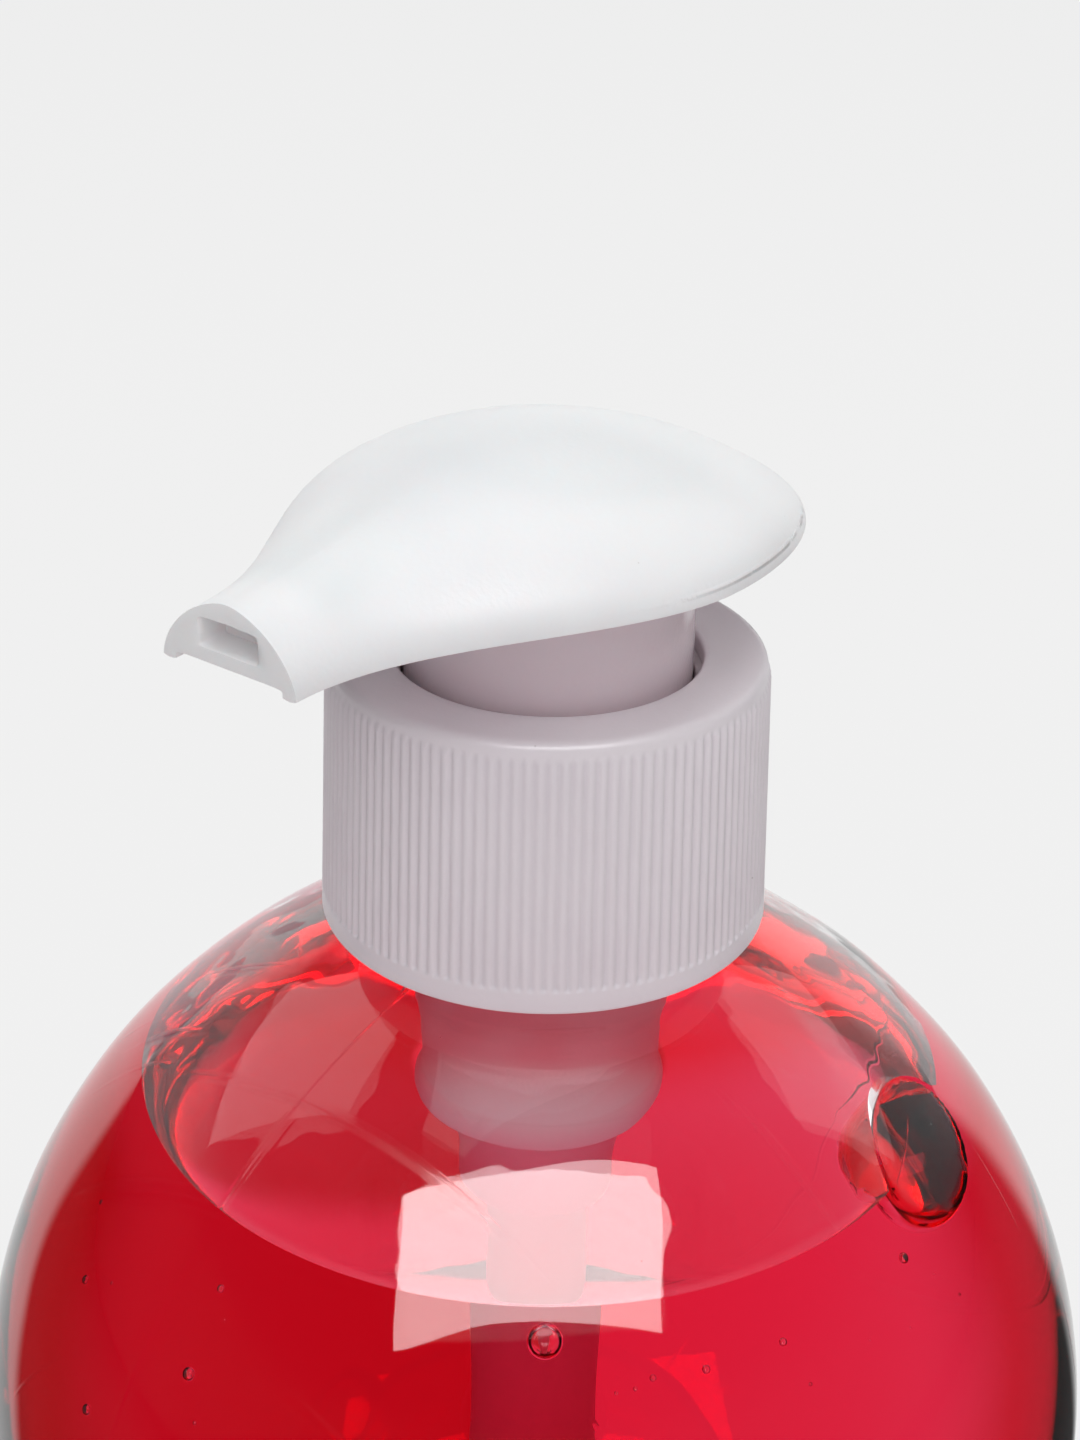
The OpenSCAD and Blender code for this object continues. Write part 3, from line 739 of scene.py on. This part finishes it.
# ---- the collar
def collar_piece():
    """The screw collar. Its outside is a cone whose radius falls along a rib wave,
    depth (0.5 - 0.5 cos)^1.5, that fades out above the plain band and at the top."""
    per_rib = 8
    segments = RIBS * per_rib
    angle = np.linspace(0, TURN, segments, endpoint=False)
    height = COLLAR_TOP - COLLAR_Z
    rib_top = height - COLLAR_EDGE
    rib_foot = RIB_BAND
    rows = np.concatenate([[0.3], np.linspace(0.3, rib_foot - 0.1, 3)[1:],
                           np.linspace(rib_foot, rib_foot + 0.45, 6),
                           np.linspace(rib_foot + 0.45, rib_top - 0.6, 8)[1:],
                           np.linspace(rib_top - 0.6, rib_top, 6)[1:]])
    cone = COLLAR_R + (COLLAR_TOP_R - COLLAR_R) * rows / height
    edge_r = cone[-1] - RIB_DEPTH
    side = np.stack([cone, rows], axis=1)
    foot = bend([COLLAR_R - 0.3, 0], [COLLAR_R, 0], side[0], 4)[:-1]
    edge = bend([edge_r, rib_top], [edge_r - 0.02, height],
                [edge_r - COLLAR_EDGE, height], 8)[1:]
    crown = np.linspace(edge_r - COLLAR_EDGE, OPENING_R + 0.5, 8)[1:]
    dish = height - 0.06 * (1 - np.linspace(-1, 1, 8)[1:] ** 2)
    ring = np.stack([crown, dish], axis=1)
    mouth = bend([OPENING_R + 0.5, height], [OPENING_R, height],
                 [OPENING_R, height - 0.5], 5)[1:]
    ceiling = height - COLLAR_WALL_TOP
    inner = np.array([[OPENING_R, ceiling], [COLLAR_BORE_R - 0.3, ceiling],
                      [COLLAR_BORE_R, ceiling - 0.3]])
    bore = np.stack([np.full(38, COLLAR_BORE_R), np.linspace(ceiling - 0.5, 0.4, 38)],
                    axis=1)
    under = bend([COLLAR_BORE_R, 0.4], [COLLAR_BORE_R, 0], [COLLAR_BORE_R + 0.4, 0], 3)[1:]
    outline = np.concatenate([foot, side, edge, ring, mouth, inner, bore, under, foot[:1]])
    radius = np.repeat(outline[:, :1], segments, axis=1)
    z = outline[:, 1:] + COLLAR_Z
    on_side = slice(len(foot), len(foot) + len(side))
    wave = (0.5 - 0.5 * np.cos(RIBS * angle)) ** 1.5
    up = np.clip((rows - rib_foot) / 0.4, 0, 1)[:, None]
    up = up * up * (3 - 2 * up)
    done = np.clip((rib_top - rows) / 0.6, 0, 1)[:, None]
    fall = RIB_DEPTH * (up * wave[None] * done + (1 - done))
    radius[on_side] -= fall
    # The depth of each hollow between ribs, which the collar's material turns into painted
    # shade.
    groove_shade = np.zeros_like(radius)
    groove_shade[on_side] = up * wave[None] * done
    first = len(foot) + len(side) + len(edge) + len(ring) + len(mouth) + len(inner)
    on_bore = slice(first, first + len(bore))
    radius[on_bore] -= collar_thread(angle[None], z[on_bore])
    faces = grid_faces(len(radius), segments)
    return make_piece("collar", ring_xyz(radius, z, angle[None]), faces, [COLLAR_WHITE],
                      sharp=55, groove_shade=groove_shade)


def collar_thread(angle, z):
    """How far the collar's thread stands in, half a pitch below the neck's."""
    start = NECK_TOP - 2.4 - (THREAD_TURNS + 0.5) * THREAD_PITCH
    return (COLLAR_BORE_R - NECK_R - 0.4) * thread_ridge(angle, z, start,
                                                         THREAD_TURNS - 0.25, 0.95, 0.55)


collar = collar_piece()
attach(collar, "collar")
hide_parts("closure")


# ---- the head
HEAD_FRONT, HEAD_BACK = -head_low[1], head_high[1]
HEAD_HALF = head_high[0]
HEAD_MID = 2.0
NOZZLE_HALF = 5.7
RIM_Z = COLLAR_TOP + 10.6
CROWN_H, NOZZLE_H, TAIL_H = 7.9, 4.9, 0.5
TAIL_DROOP, NOZZLE_DROOP = 2.0, 1.1
HEAD_WALL = 1.2
FLASH_RISE = 0.8
TIP = 6.0
LIP_H, LIP_W = 0.5, 1.15
SLOT_W, SLOT_H = 5.0, 2.0
SLOT_Z = RIM_Z - NOZZLE_DROOP + LIP_H + 1.0 + SLOT_H / 2
CROWN_POWER = 1.7


def head_half(s):
    """Half width of the head's plan, s in front of the axis: an ellipse behind the widest
    point and a cosine ease to the nozzle before it."""
    back = (HEAD_MID - s) / (HEAD_MID + HEAD_BACK)
    behind = HEAD_HALF * np.sqrt(np.clip(1 - back ** 2, 0, 1))
    ahead = np.clip((s - HEAD_MID) / (HEAD_FRONT - HEAD_MID), 0, 1)
    ease = (1 + np.cos(math.pi * ahead)) / 2
    return np.where(s < HEAD_MID, behind, NOZZLE_HALF + (HEAD_HALF - NOZZLE_HALF) * ease)


def head_crown(s):
    """Height of the crown over the rim: a sine from the tail to the widest point, and a
    cosine from there to the nozzle."""
    back = np.clip((s + HEAD_BACK) / (HEAD_MID + HEAD_BACK), 0, 1)
    ahead = np.clip((s - HEAD_MID) / (HEAD_FRONT - HEAD_MID), 0, 1)
    rise = TAIL_H + (CROWN_H - TAIL_H) * np.sin(math.pi / 2 * back) ** 0.88
    fall = NOZZLE_H + (CROWN_H - NOZZLE_H) * (1 + np.cos(math.pi * ahead)) / 2
    return np.where(s < HEAD_MID, rise, fall)


def head_rim(s):
    """Height of the rim: it droops with the square of the way to the tail and the nozzle."""
    u = (s + HEAD_BACK) / (HEAD_FRONT + HEAD_BACK)
    return RIM_Z - TAIL_DROOP * (1 - u) ** 2 - NOZZLE_DROOP * u ** 2


def arch(half, base, height, turn, power):
    """A power arch over a base line: cos and sin to the power 2/n."""
    flat = 2 / power
    c, s = np.cos(turn), np.clip(np.sin(turn), 0, 1)
    return half * np.sign(c) * np.abs(c) ** flat, base + height * s ** flat


def head_shell():
    """The crown as one closed skin: an outer arch, a rounded rim, an inner arch that is
    low and flat under the nozzle's solid tip, and at the front a face round the slot."""
    stations, arc = 130, 72
    ease = np.linspace(0, 1, stations)
    s = -HEAD_BACK + (HEAD_FRONT + HEAD_BACK) * (1 - np.cos(math.pi * ease)) / 2
    tip_start = HEAD_FRONT - TIP
    s = np.sort(np.concatenate([s, [tip_start - 0.2, tip_start]]))[:, None]
    half, rim, crown = head_half(s), head_rim(s), head_crown(s)
    half = np.maximum(half, 0.02)
    solid = np.clip((s - tip_start + 0.2) / 0.2, 0, 1)
    wall = HEAD_WALL * np.clip((s + HEAD_BACK) / 1.5, 0.05, 1)
    turn = np.linspace(0, math.pi, arc)[None]
    out_x, out_z = arch(half, rim, crown, turn, CROWN_POWER)
    hollow = np.maximum(crown - wall, 0.02)
    in_half = np.maximum(half - wall, 0.01)
    back = turn[:, ::-1]
    soft_x, soft_z = arch(in_half, rim, hollow, back, CROWN_POWER)
    flat_x, flat_z = arch(half - LIP_W, rim, LIP_H, back, 9.0)
    in_x = soft_x + (flat_x - soft_x) * solid
    in_z = soft_z + (flat_z - soft_z) * solid
    bead = 0.12
    left = (out_x[:, -1:], in_x[:, :1])
    right = (in_x[:, -1:], out_x[:, :1])
    rims = []
    for first, second in (left, right):
        share = np.linspace(0, 1, 5)[1:-1][None]
        rims.append((first + (second - first) * share,
                     rim - bead * np.sin(math.pi * share)))
    x = np.concatenate([out_x, rims[0][0], in_x, rims[1][0]], axis=1)
    z = np.concatenate([out_z, rims[0][1], in_z, rims[1][1]], axis=1)
    y = np.repeat(-s, x.shape[1], axis=1)
    skin = np.stack([x, y, z], axis=-1)
    columns = skin.shape[1]
    tail = np.repeat(skin[:1].mean(axis=1, keepdims=True), columns, axis=1)
    front = nozzle_face(skin[-1])
    points = np.concatenate([tail, skin, front])
    return points.reshape(-1, 3), grid_faces(len(points), columns)[:, ::-1]


def nozzle_face(lip):
    """Rings from the nozzle's outline over its lips to its slot and into it. Each point
    runs towards the slot's middle and stops on the slot's rounded rectangle."""
    middle = np.array([0, -HEAD_FRONT, SLOT_Z])
    outline = lip.copy()
    outline[:, 0] = np.clip(lip[:, 0], 0.1 - NOZZLE_HALF, NOZZLE_HALF - 0.1)
    outline[:, 2] = np.maximum(lip[:, 2], RIM_Z - NOZZLE_DROOP + LIP_H + 0.02)
    ray = outline - middle
    bearing = np.arctan2(ray[:, 2], ray[:, 0])
    c, s = np.abs(np.cos(bearing)), np.abs(np.sin(bearing))
    power = 12.0
    reach = ((c / (SLOT_W / 2)) ** power + (s / (SLOT_H / 2)) ** power) ** (-1 / power)
    slot = middle + np.stack([reach * np.cos(bearing), 0 * reach,
                              reach * np.sin(bearing)], axis=1)
    rings = [lip + (outline - lip) * 0.1, outline]
    for share, out in ((0.3, 0.0), (0.7, 0.0), (0.94, 0.0), (1.0, 0.12)):
        ring = outline + (slot - outline) * share
        ring[:, 1] += out
        rings.append(ring)
    for deep in (0.5, 1.4, 2.4):
        ring = slot.copy()
        ring[:, 1] += deep
        rings.append(ring)
    rings.append(np.broadcast_to(rings[-1].mean(axis=0), outline.shape))
    return np.stack(rings)


def crown_z(x, y):
    """Height of the crown's outside over a point."""
    s = -y
    share = np.clip(np.abs(x) / head_half(s), 0, 1) ** CROWN_POWER
    return head_rim(s) + head_crown(s) * np.clip(1 - share, 0, 1) ** (1 / CROWN_POWER)


def skirt_mesh():
    """The skirt: a tube whose top follows the crown, half a wall below its outside."""
    segments = 160
    angle = np.linspace(0, TURN, segments, endpoint=False)
    outer, inner, low = SKIRT_R, SKIRT_R - 1.0, head_low[2]
    ring = ring_xyz(outer, 0.0, angle)
    top = crown_z(ring[:, 0], ring[:, 1]) - HEAD_WALL * 0.6
    share = np.linspace(0, 1, 24)[:, None]
    foot = bend([outer - 0.25, low], [outer, low], [outer, low + 0.25], 3)
    inside = bend([inner, low + 0.2], [inner, low], [inner + 0.2, low], 3)
    rows = [ring_xyz(r, z, angle) for r, z in foot]
    rows += list(ring_xyz(outer, low + 0.25 + (top - low - 0.25) * share[1:], angle))
    rows += list(ring_xyz(inner, top + (low + 0.2 - top) * share, angle))
    rows += [ring_xyz(r, z, angle) for r, z in inside[1:]]
    rows.append(rows[0])
    points = np.stack(rows)
    return points.reshape(-1, 3), grid_faces(len(points), segments)


def socket_mesh():
    """The socket that takes the stem, open below and closed by the duct's roof."""
    segments, low, high = 96, RIM_Z - 6.0, SLOT_Z + 2.1
    angle = np.linspace(0, TURN, segments, endpoint=False)
    outline = np.array([[STEM_R + 0.3, low], [STEM_R + 1.2, low], [STEM_R + 1.5, low + 0.3],
                        [STEM_R + 1.5, high], [STEM_R, high], [STEM_R, low + 0.3],
                        [STEM_R + 0.3, low]])
    points = ring_xyz(outline[:, :1], outline[:, 1:], angle[None])
    return points.reshape(-1, 3), grid_faces(len(points), segments)


def duct_mesh():
    """The duct under the crown: a rounded rectangle carried along the nozzle, cut off
    half a wall below the crown's outside."""
    columns = 40
    turn = np.linspace(0, TURN, columns, endpoint=False)
    half_w, half_h = SLOT_W / 2 + 1.1, SLOT_H / 2 + 1.1
    c, s = np.cos(turn), np.sin(turn)
    x = half_w * np.sign(c) * np.abs(c) ** 0.25
    z = SLOT_Z + half_h * np.sign(s) * np.abs(s) ** 0.25
    y = -np.linspace(STEM_R, HEAD_FRONT - TIP + 0.6, 12)[:, None]
    points = np.stack([np.repeat(x[None], 12, axis=0), np.repeat(y, columns, axis=1),
                       np.repeat(z[None], 12, axis=0)], axis=-1)
    roof = crown_z(points[..., 0], points[..., 1]) - HEAD_WALL / 2
    points[..., 2] = np.minimum(points[..., 2], roof)
    points = capped(points)
    return points.reshape(-1, 3), grid_faces(len(points), columns)[:, ::-1]


def head_piece():
    """The press head as one piece: crown, skirt, socket and duct."""
    points, faces, count = [], [], 0
    for part_points, part_faces in (head_shell(), skirt_mesh(), socket_mesh(), duct_mesh()):
        points.append(part_points)
        faces.append(part_faces + count)
        count += len(part_points)
    return make_piece("press_head", np.concatenate(points), np.concatenate(faces),
                      [HEAD_WHITE], sharp=50)


HEAD_WHITE = head_plastic("head_white", rgb(247, 247, 248), rgb(243, 243, 245))
press_head = head_piece()
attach(press_head, "head")
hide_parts("actuator")


# ---- the pump's turned parts
gasket_low, gasket_high = box_mm("gasket")
cap_low, cap_high = box_mm("guide_cap")
piston_low, piston_high = box_mm("piston")
stem_low, stem_high = box_mm("stem")
FLANGE_Z = gasket_high[2]
FLANGE_TOP = FLANGE_Z + 1.2
FLANGE_R = 12.9
CUP_IN, CUP_OUT = 10.85, 11.35
CUP_FLOOR = cap_low[2] + 3.0
CHAMBER_IN = CHAMBER_R - 1.0
VALVE_IN = VALVE_R - 1.4
CHAMBER_TOP = CUP_FLOOR - 1.2
CHAMBER_LOW = CHAMBER_TOP - 26.8
SPRING_Z = CHAMBER_LOW + 0.9
VALVE_LOW = housing_low[2]
DIP_STOP = VALVE_LOW + 9.0
INLET_R, OUTLET_R, CAGE_R = 2.4, 1.5, 2.7
STEM_HOLE_R, STEM_RING_R = 3.85, 5.2
PISTON_R = 8.25


def turned_piece(name, outline, material, node, body, edge=0.15):
    piece = turned(name, outline, material, edge)
    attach(piece, body)
    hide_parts(node)
    return piece


turned_piece("housing", [
    [DIP_R + 0.05, VALVE_LOW], [VALVE_R, VALVE_LOW], [VALVE_R, CHAMBER_LOW - 3.0],
    [CHAMBER_R, CHAMBER_LOW], [CHAMBER_R, CHAMBER_TOP], [CUP_OUT, CHAMBER_TOP],
    [CUP_OUT, FLANGE_Z], [FLANGE_R, FLANGE_Z], [FLANGE_R, FLANGE_TOP],
    [CUP_IN, FLANGE_TOP], [CUP_IN, CUP_FLOOR], [CHAMBER_IN, CUP_FLOOR],
    [CHAMBER_IN, SPRING_Z], [VALVE_IN, SPRING_Z], [VALVE_IN, DIP_STOP + 3.7],
    [INLET_R, DIP_STOP + 1.2], [INLET_R, DIP_STOP], [DIP_R + 0.05, DIP_STOP]],
    MILKY, "pump_housing", "pump", 0.3)
turned_piece("guide_plug", [
    [STEM_HOLE_R, cap_low[2]], [CHAMBER_IN - 0.05, cap_low[2]],
    [CHAMBER_IN - 0.05, CUP_FLOOR + 0.05], [CUP_IN - 0.05, CUP_FLOOR + 0.05],
    [CUP_IN - 0.05, cap_high[2] - 1.6], [5.05, cap_high[2] - 1.6], [5.05, cap_high[2]],
    [STEM_HOLE_R, cap_high[2]]], MILKY, "guide_cap", "pump")
turned_piece("neck_gasket", [
    [CUP_OUT + 0.05, gasket_low[2]], [NECK_R, gasket_low[2]], [NECK_R, gasket_high[2]],
    [CUP_OUT + 0.05, gasket_high[2]]], FOAM, "gasket", "pump", 0.1)
turned_piece("suction_tube", [
    [DIP_R - 0.9, dip_low[2]], [DIP_R, dip_low[2]], [DIP_R, dip_high[2]],
    [DIP_R - 0.9, dip_high[2]]], TUBE, "dip_tube", "pump", 0.2)
PISTON_Z, PISTON_TOP = piston_low[2], piston_high[2]
turned_piece("piston_seal", [
    [STEM_HOLE_R, PISTON_Z], [PISTON_R, PISTON_Z], [PISTON_R, PISTON_Z + 1.0],
    [PISTON_R - 0.3, PISTON_Z + 1.5], [PISTON_R - 0.3, PISTON_TOP - 1.5],
    [PISTON_R, PISTON_TOP - 1.0], [PISTON_R, PISTON_TOP], [PISTON_R - 0.9, PISTON_TOP],
    [PISTON_R - 1.2, PISTON_Z + 1.6], [5.15, PISTON_Z + 1.6], [5.15, PISTON_TOP],
    [STEM_HOLE_R, PISTON_TOP]], SEAL, "piston", "plunger")
STEM_FOOT, STEM_TOP = stem_low[2], stem_high[2]
RING_Z = PISTON_TOP + 0.05
CAGE_Z = RIM_Z - 6.5
turned_piece("plunger_stem", [
    [OUTLET_R, STEM_FOOT], [STEM_RING_R, STEM_FOOT], [STEM_RING_R, STEM_FOOT + 1.4],
    [STEM_R, STEM_FOOT + 1.4], [STEM_R, RING_Z], [STEM_RING_R, RING_Z],
    [STEM_RING_R, RING_Z + 1.4], [STEM_R, RING_Z + 1.4], [STEM_R, STEM_TOP],
    [CAGE_R, STEM_TOP], [CAGE_R, CAGE_Z + 1.2], [OUTLET_R, CAGE_Z]],
    MILKY, "stem", "head")


def spring_piece():
    """A helical spring with a dead turn at each end, its wire carried along the helix."""
    turns, wire, mean, columns = 6, 1.0, 6.7, 12
    low, high = spring_low[2] + wire / 2, spring_high[2] - wire / 2
    u = np.linspace(0, turns, turns * 48 + 1)
    dead = wire * 1.05
    z = np.interp(u, [0, 1, turns - 1, turns], [low, low + dead, high - dead, high])
    b = np.linspace(0, TURN, columns, endpoint=False)
    radius = mean + wire / 2 * np.cos(b)[None]
    points = capped(ring_xyz(radius, z[:, None] + wire / 2 * np.sin(b)[None],
                             TURN * u[:, None]))
    return make_piece("coil_spring", points, grid_faces(len(points), columns)[:, ::-1],
                      [SPRING_STEEL])


coil = spring_piece()
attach(coil, "pump")
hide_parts("return_spring")
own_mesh(coil)
for ball in ("inlet_ball", "outlet_ball"):
    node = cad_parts[ball]
    node.data.materials.clear()
    node.data.materials.append(BALL_STEEL)


# ---- the studio
# Linear light: what the eye sees behind the object, what reflections meet to the sides,
# and what lights the matt pieces from all round
PALE, DARK, AMBIENT = 0.863, 0.015, 0.12
# Painted light seen only through the clear plastic: red light from the soap, and a red
# shadow on the floor behind the object.
PAINTED_RED_LIGHT = (0.78, 0.26, 0.31, 1.0)
SHADED = (0.57, 0.08, 0.155, 1.0)
FLOOR_GLOW = 1.03
# The camera's place in millimetres and its angles in radians
CAMERA_OUT = 166.6
CAMERA_UP = COLLAR_Z + 97.76
CAMERA_DOWN = 0.461
CAMERA_ASIDE = -0.003
CAMERA_ROLL = 0.020
LENS = 62.4


def add_camera():
    """The camera of the photo: out from the axis, looking down on the collar."""
    pitch, yaw = CAMERA_DOWN, CAMERA_ASIDE
    ahead = Vector((math.sin(yaw) * math.cos(pitch), math.cos(yaw) * math.cos(pitch),
                    -math.sin(pitch)))
    right = Vector((math.cos(yaw), -math.sin(yaw), 0))
    up = right.cross(ahead)
    c, s = math.cos(CAMERA_ROLL), math.sin(CAMERA_ROLL)
    right, up = c * right + s * up, c * up - s * right
    spin = Matrix.Rotation(CAMERA_ANGLE, 3, "Z")
    axes = [spin @ right, spin @ up, spin @ -ahead]
    data = bpy.data.cameras.new("camera")
    data.lens = LENS
    data.clip_start, data.clip_end = 0.01, 50
    camera = bpy.data.objects.new("camera", data)
    bpy.context.collection.objects.link(camera)
    place = spin @ Vector((0, -CAMERA_OUT, CAMERA_UP)) * MM
    camera.matrix_world = Matrix.Translation(place) @ Matrix(axes).transposed().to_4x4()
    bpy.context.scene.camera = camera


def add_lamp(name, azimuth, elevation, distance, width, height, light, target, roll=0.0,
             mirrored=False, colour=(1.0, 1.0, 1.0)):
    """A rectangular soft box at an angle round the target, facing it. Light is what its
    face gives out, as a multiple of white. It is either mirrored in the glossy surfaces
    or lights the matt ones."""
    a, e = math.radians(azimuth), math.radians(elevation)
    back = Vector((math.sin(a) * math.cos(e), -math.cos(a) * math.cos(e), math.sin(e)))
    data = bpy.data.lights.new(name, "AREA")
    data.shape, data.size, data.size_y = "RECTANGLE", width, height
    data.energy = light * math.pi * width * height
    data.color = colour
    lamp = bpy.data.objects.new(name, data)
    bpy.context.collection.objects.link(lamp)
    turn = back.to_track_quat("Z", "Y").to_matrix() @ Matrix.Rotation(roll, 3, "Z")
    lamp.matrix_world = (Matrix.Translation(Vector(target) + back * distance)
                         @ turn.to_4x4())
    lamp.visible_glossy = lamp.visible_transmission = mirrored
    lamp.visible_diffuse = not mirrored


def set_world():
    """Pale to the eye, and through clear plastic. To reflections and to the light on the
    object it is pale low down behind the object, and dark elsewhere. Looking up through
    the bottle it is painted red: red light standing in for the soap that way."""
    w = Shading("studio", world=True)
    place = w.node("ShaderNodeTexCoord").outputs["Generated"]
    ahead = w.along(place, AWAY)
    up = w.value(w.node("ShaderNodeSeparateXYZ", Vector=place).outputs["Z"])
    path = w.node("ShaderNodeLightPath")
    through = w.value(path.outputs["Is Transmission Ray"])
    sector = w.smooth(ahead, 0.72, 0.82).math("MAXIMUM", through)
    dim = DARK + (AMBIENT - DARK) * w.value(path.outputs["Is Diffuse Ray"])
    low = w.smooth(up, 0.4, 0.15).math("MAXIMUM", through)
    room = dim + (PALE - dim) * sector * low
    strength = room + (PALE - room) * w.value(path.outputs["Is Camera Ray"])
    # Painted red light: red where the bottle is looked up through.
    painted_red_share = through * w.smooth(up, 0.3, 0.5)
    tint = w.mix(painted_red_share, (1, 1, 1, 1), PAINTED_RED_LIGHT)
    w.surface(w.node("ShaderNodeBackground", Color=tint, Strength=strength).outputs[0])
    bpy.context.scene.world = w.made


def add_floor():
    """A wide pale floor that keeps the object's shadow. Through the clear plastic it has a
    painted red shadow left of and behind the object, and painted red light in front of it
    and at its sides. Reflections find it dark there."""
    m = Shading("floor_pale")
    cloud = m.noise(3.0, 2.0)
    base = m.mix(cloud, (0.84, 0.84, 0.84, 1), (0.88, 0.88, 0.88, 1))
    lit = m.node("ShaderNodeBsdfPrincipled", Base_Color=base, Roughness=0.7)
    path = m.node("ShaderNodeLightPath")
    through = m.value(path.outputs["Is Transmission Ray"])
    glossy = m.value(path.outputs["Is Glossy Ray"])
    seen = through.math("MAXIMUM", m.value(path.outputs["Is Camera Ray"])).math(
        "MAXIMUM", glossy)
    aligned = m.node("ShaderNodeVectorRotate", {"rotation_type": "Z_AXIS"},
                     Vector=m.place(), Angle=-CAMERA_ANGLE)
    place = m.node("ShaderNodeSeparateXYZ", Vector=aligned.outputs[0])
    side, behind = m.value(place.outputs["X"]), m.value(place.outputs["Y"])
    # Painted red shadow behind and left of the object, seen only through the clear plastic.
    shade = m.smooth(side, 0.004, -0.004) * m.smooth(behind, 0.022, 0.030) * through
    glow = m.mix(shade, (PALE, PALE, PALE, 1), SHADED)
    aside = m.smooth(abs(side + 0.025) / (behind + 0.06).math("MAXIMUM", 0.001), 0.9, 1.1)
    # Painted red light in front of the object and at its sides, seen through the clear
    # plastic.
    glow = m.mix(aside * glossy, glow, m.mix(through, (DARK, DARK, DARK, 1), PAINTED_RED_LIGHT))
    own = m.node("ShaderNodeEmission", Color=glow, Strength=FLOOR_GLOW)
    m.surface(m.blend(seen * 0.92, lit.outputs[0], own.outputs[0]))
    size, z = 4000.0, -0.02
    corners = np.array([[-size, -size, z], [size, -size, z], [size, size, z],
                        [-size, size, z]])
    floor = make_piece("floor", corners, np.array([[0, 1, 2, 3]]), [m.made])


add_camera()
set_world()
add_floor()
SHOULDER = (0.0167, -0.0228, 0.0693)  # where the lamps point, in metres
HEAD = (0, 0, 0.1)
add_lamp("soft_box", 35, 61.5, 0.55, 0.57, 0.31, 6.6, SHOULDER, math.radians(6), True)
add_lamp("left_panel", -88, 40, 0.9, 0.5, 0.5, 0.75, SHOULDER, 0.0, True)
add_lamp("right_panel", 166, 30, 0.9, 0.5, 0.36, 0.6, SHOULDER, 0.0, True)
add_lamp("key", 39, 46, 0.6, 0.5, 0.45, 2.05, HEAD)
add_lamp("overhead", -143, 80, 1.1, 1.0, 1.0, 2.75, HEAD)
add_lamp("right_fill", 140, 34, 1.0, 0.8, 0.5, 0.7, HEAD)
add_lamp("front_fill", 37, 10, 0.9, 0.8, 0.6, 0.45, HEAD, colour=(1.0, 0.82, 0.88))

scene = bpy.context.scene
scene.view_settings.view_transform = "Standard"
# Light crosses many clear walls before it is out of the bottle
scene.cycles.max_bounces = 32
scene.cycles.glossy_bounces = 24
scene.cycles.transmission_bounces = 32
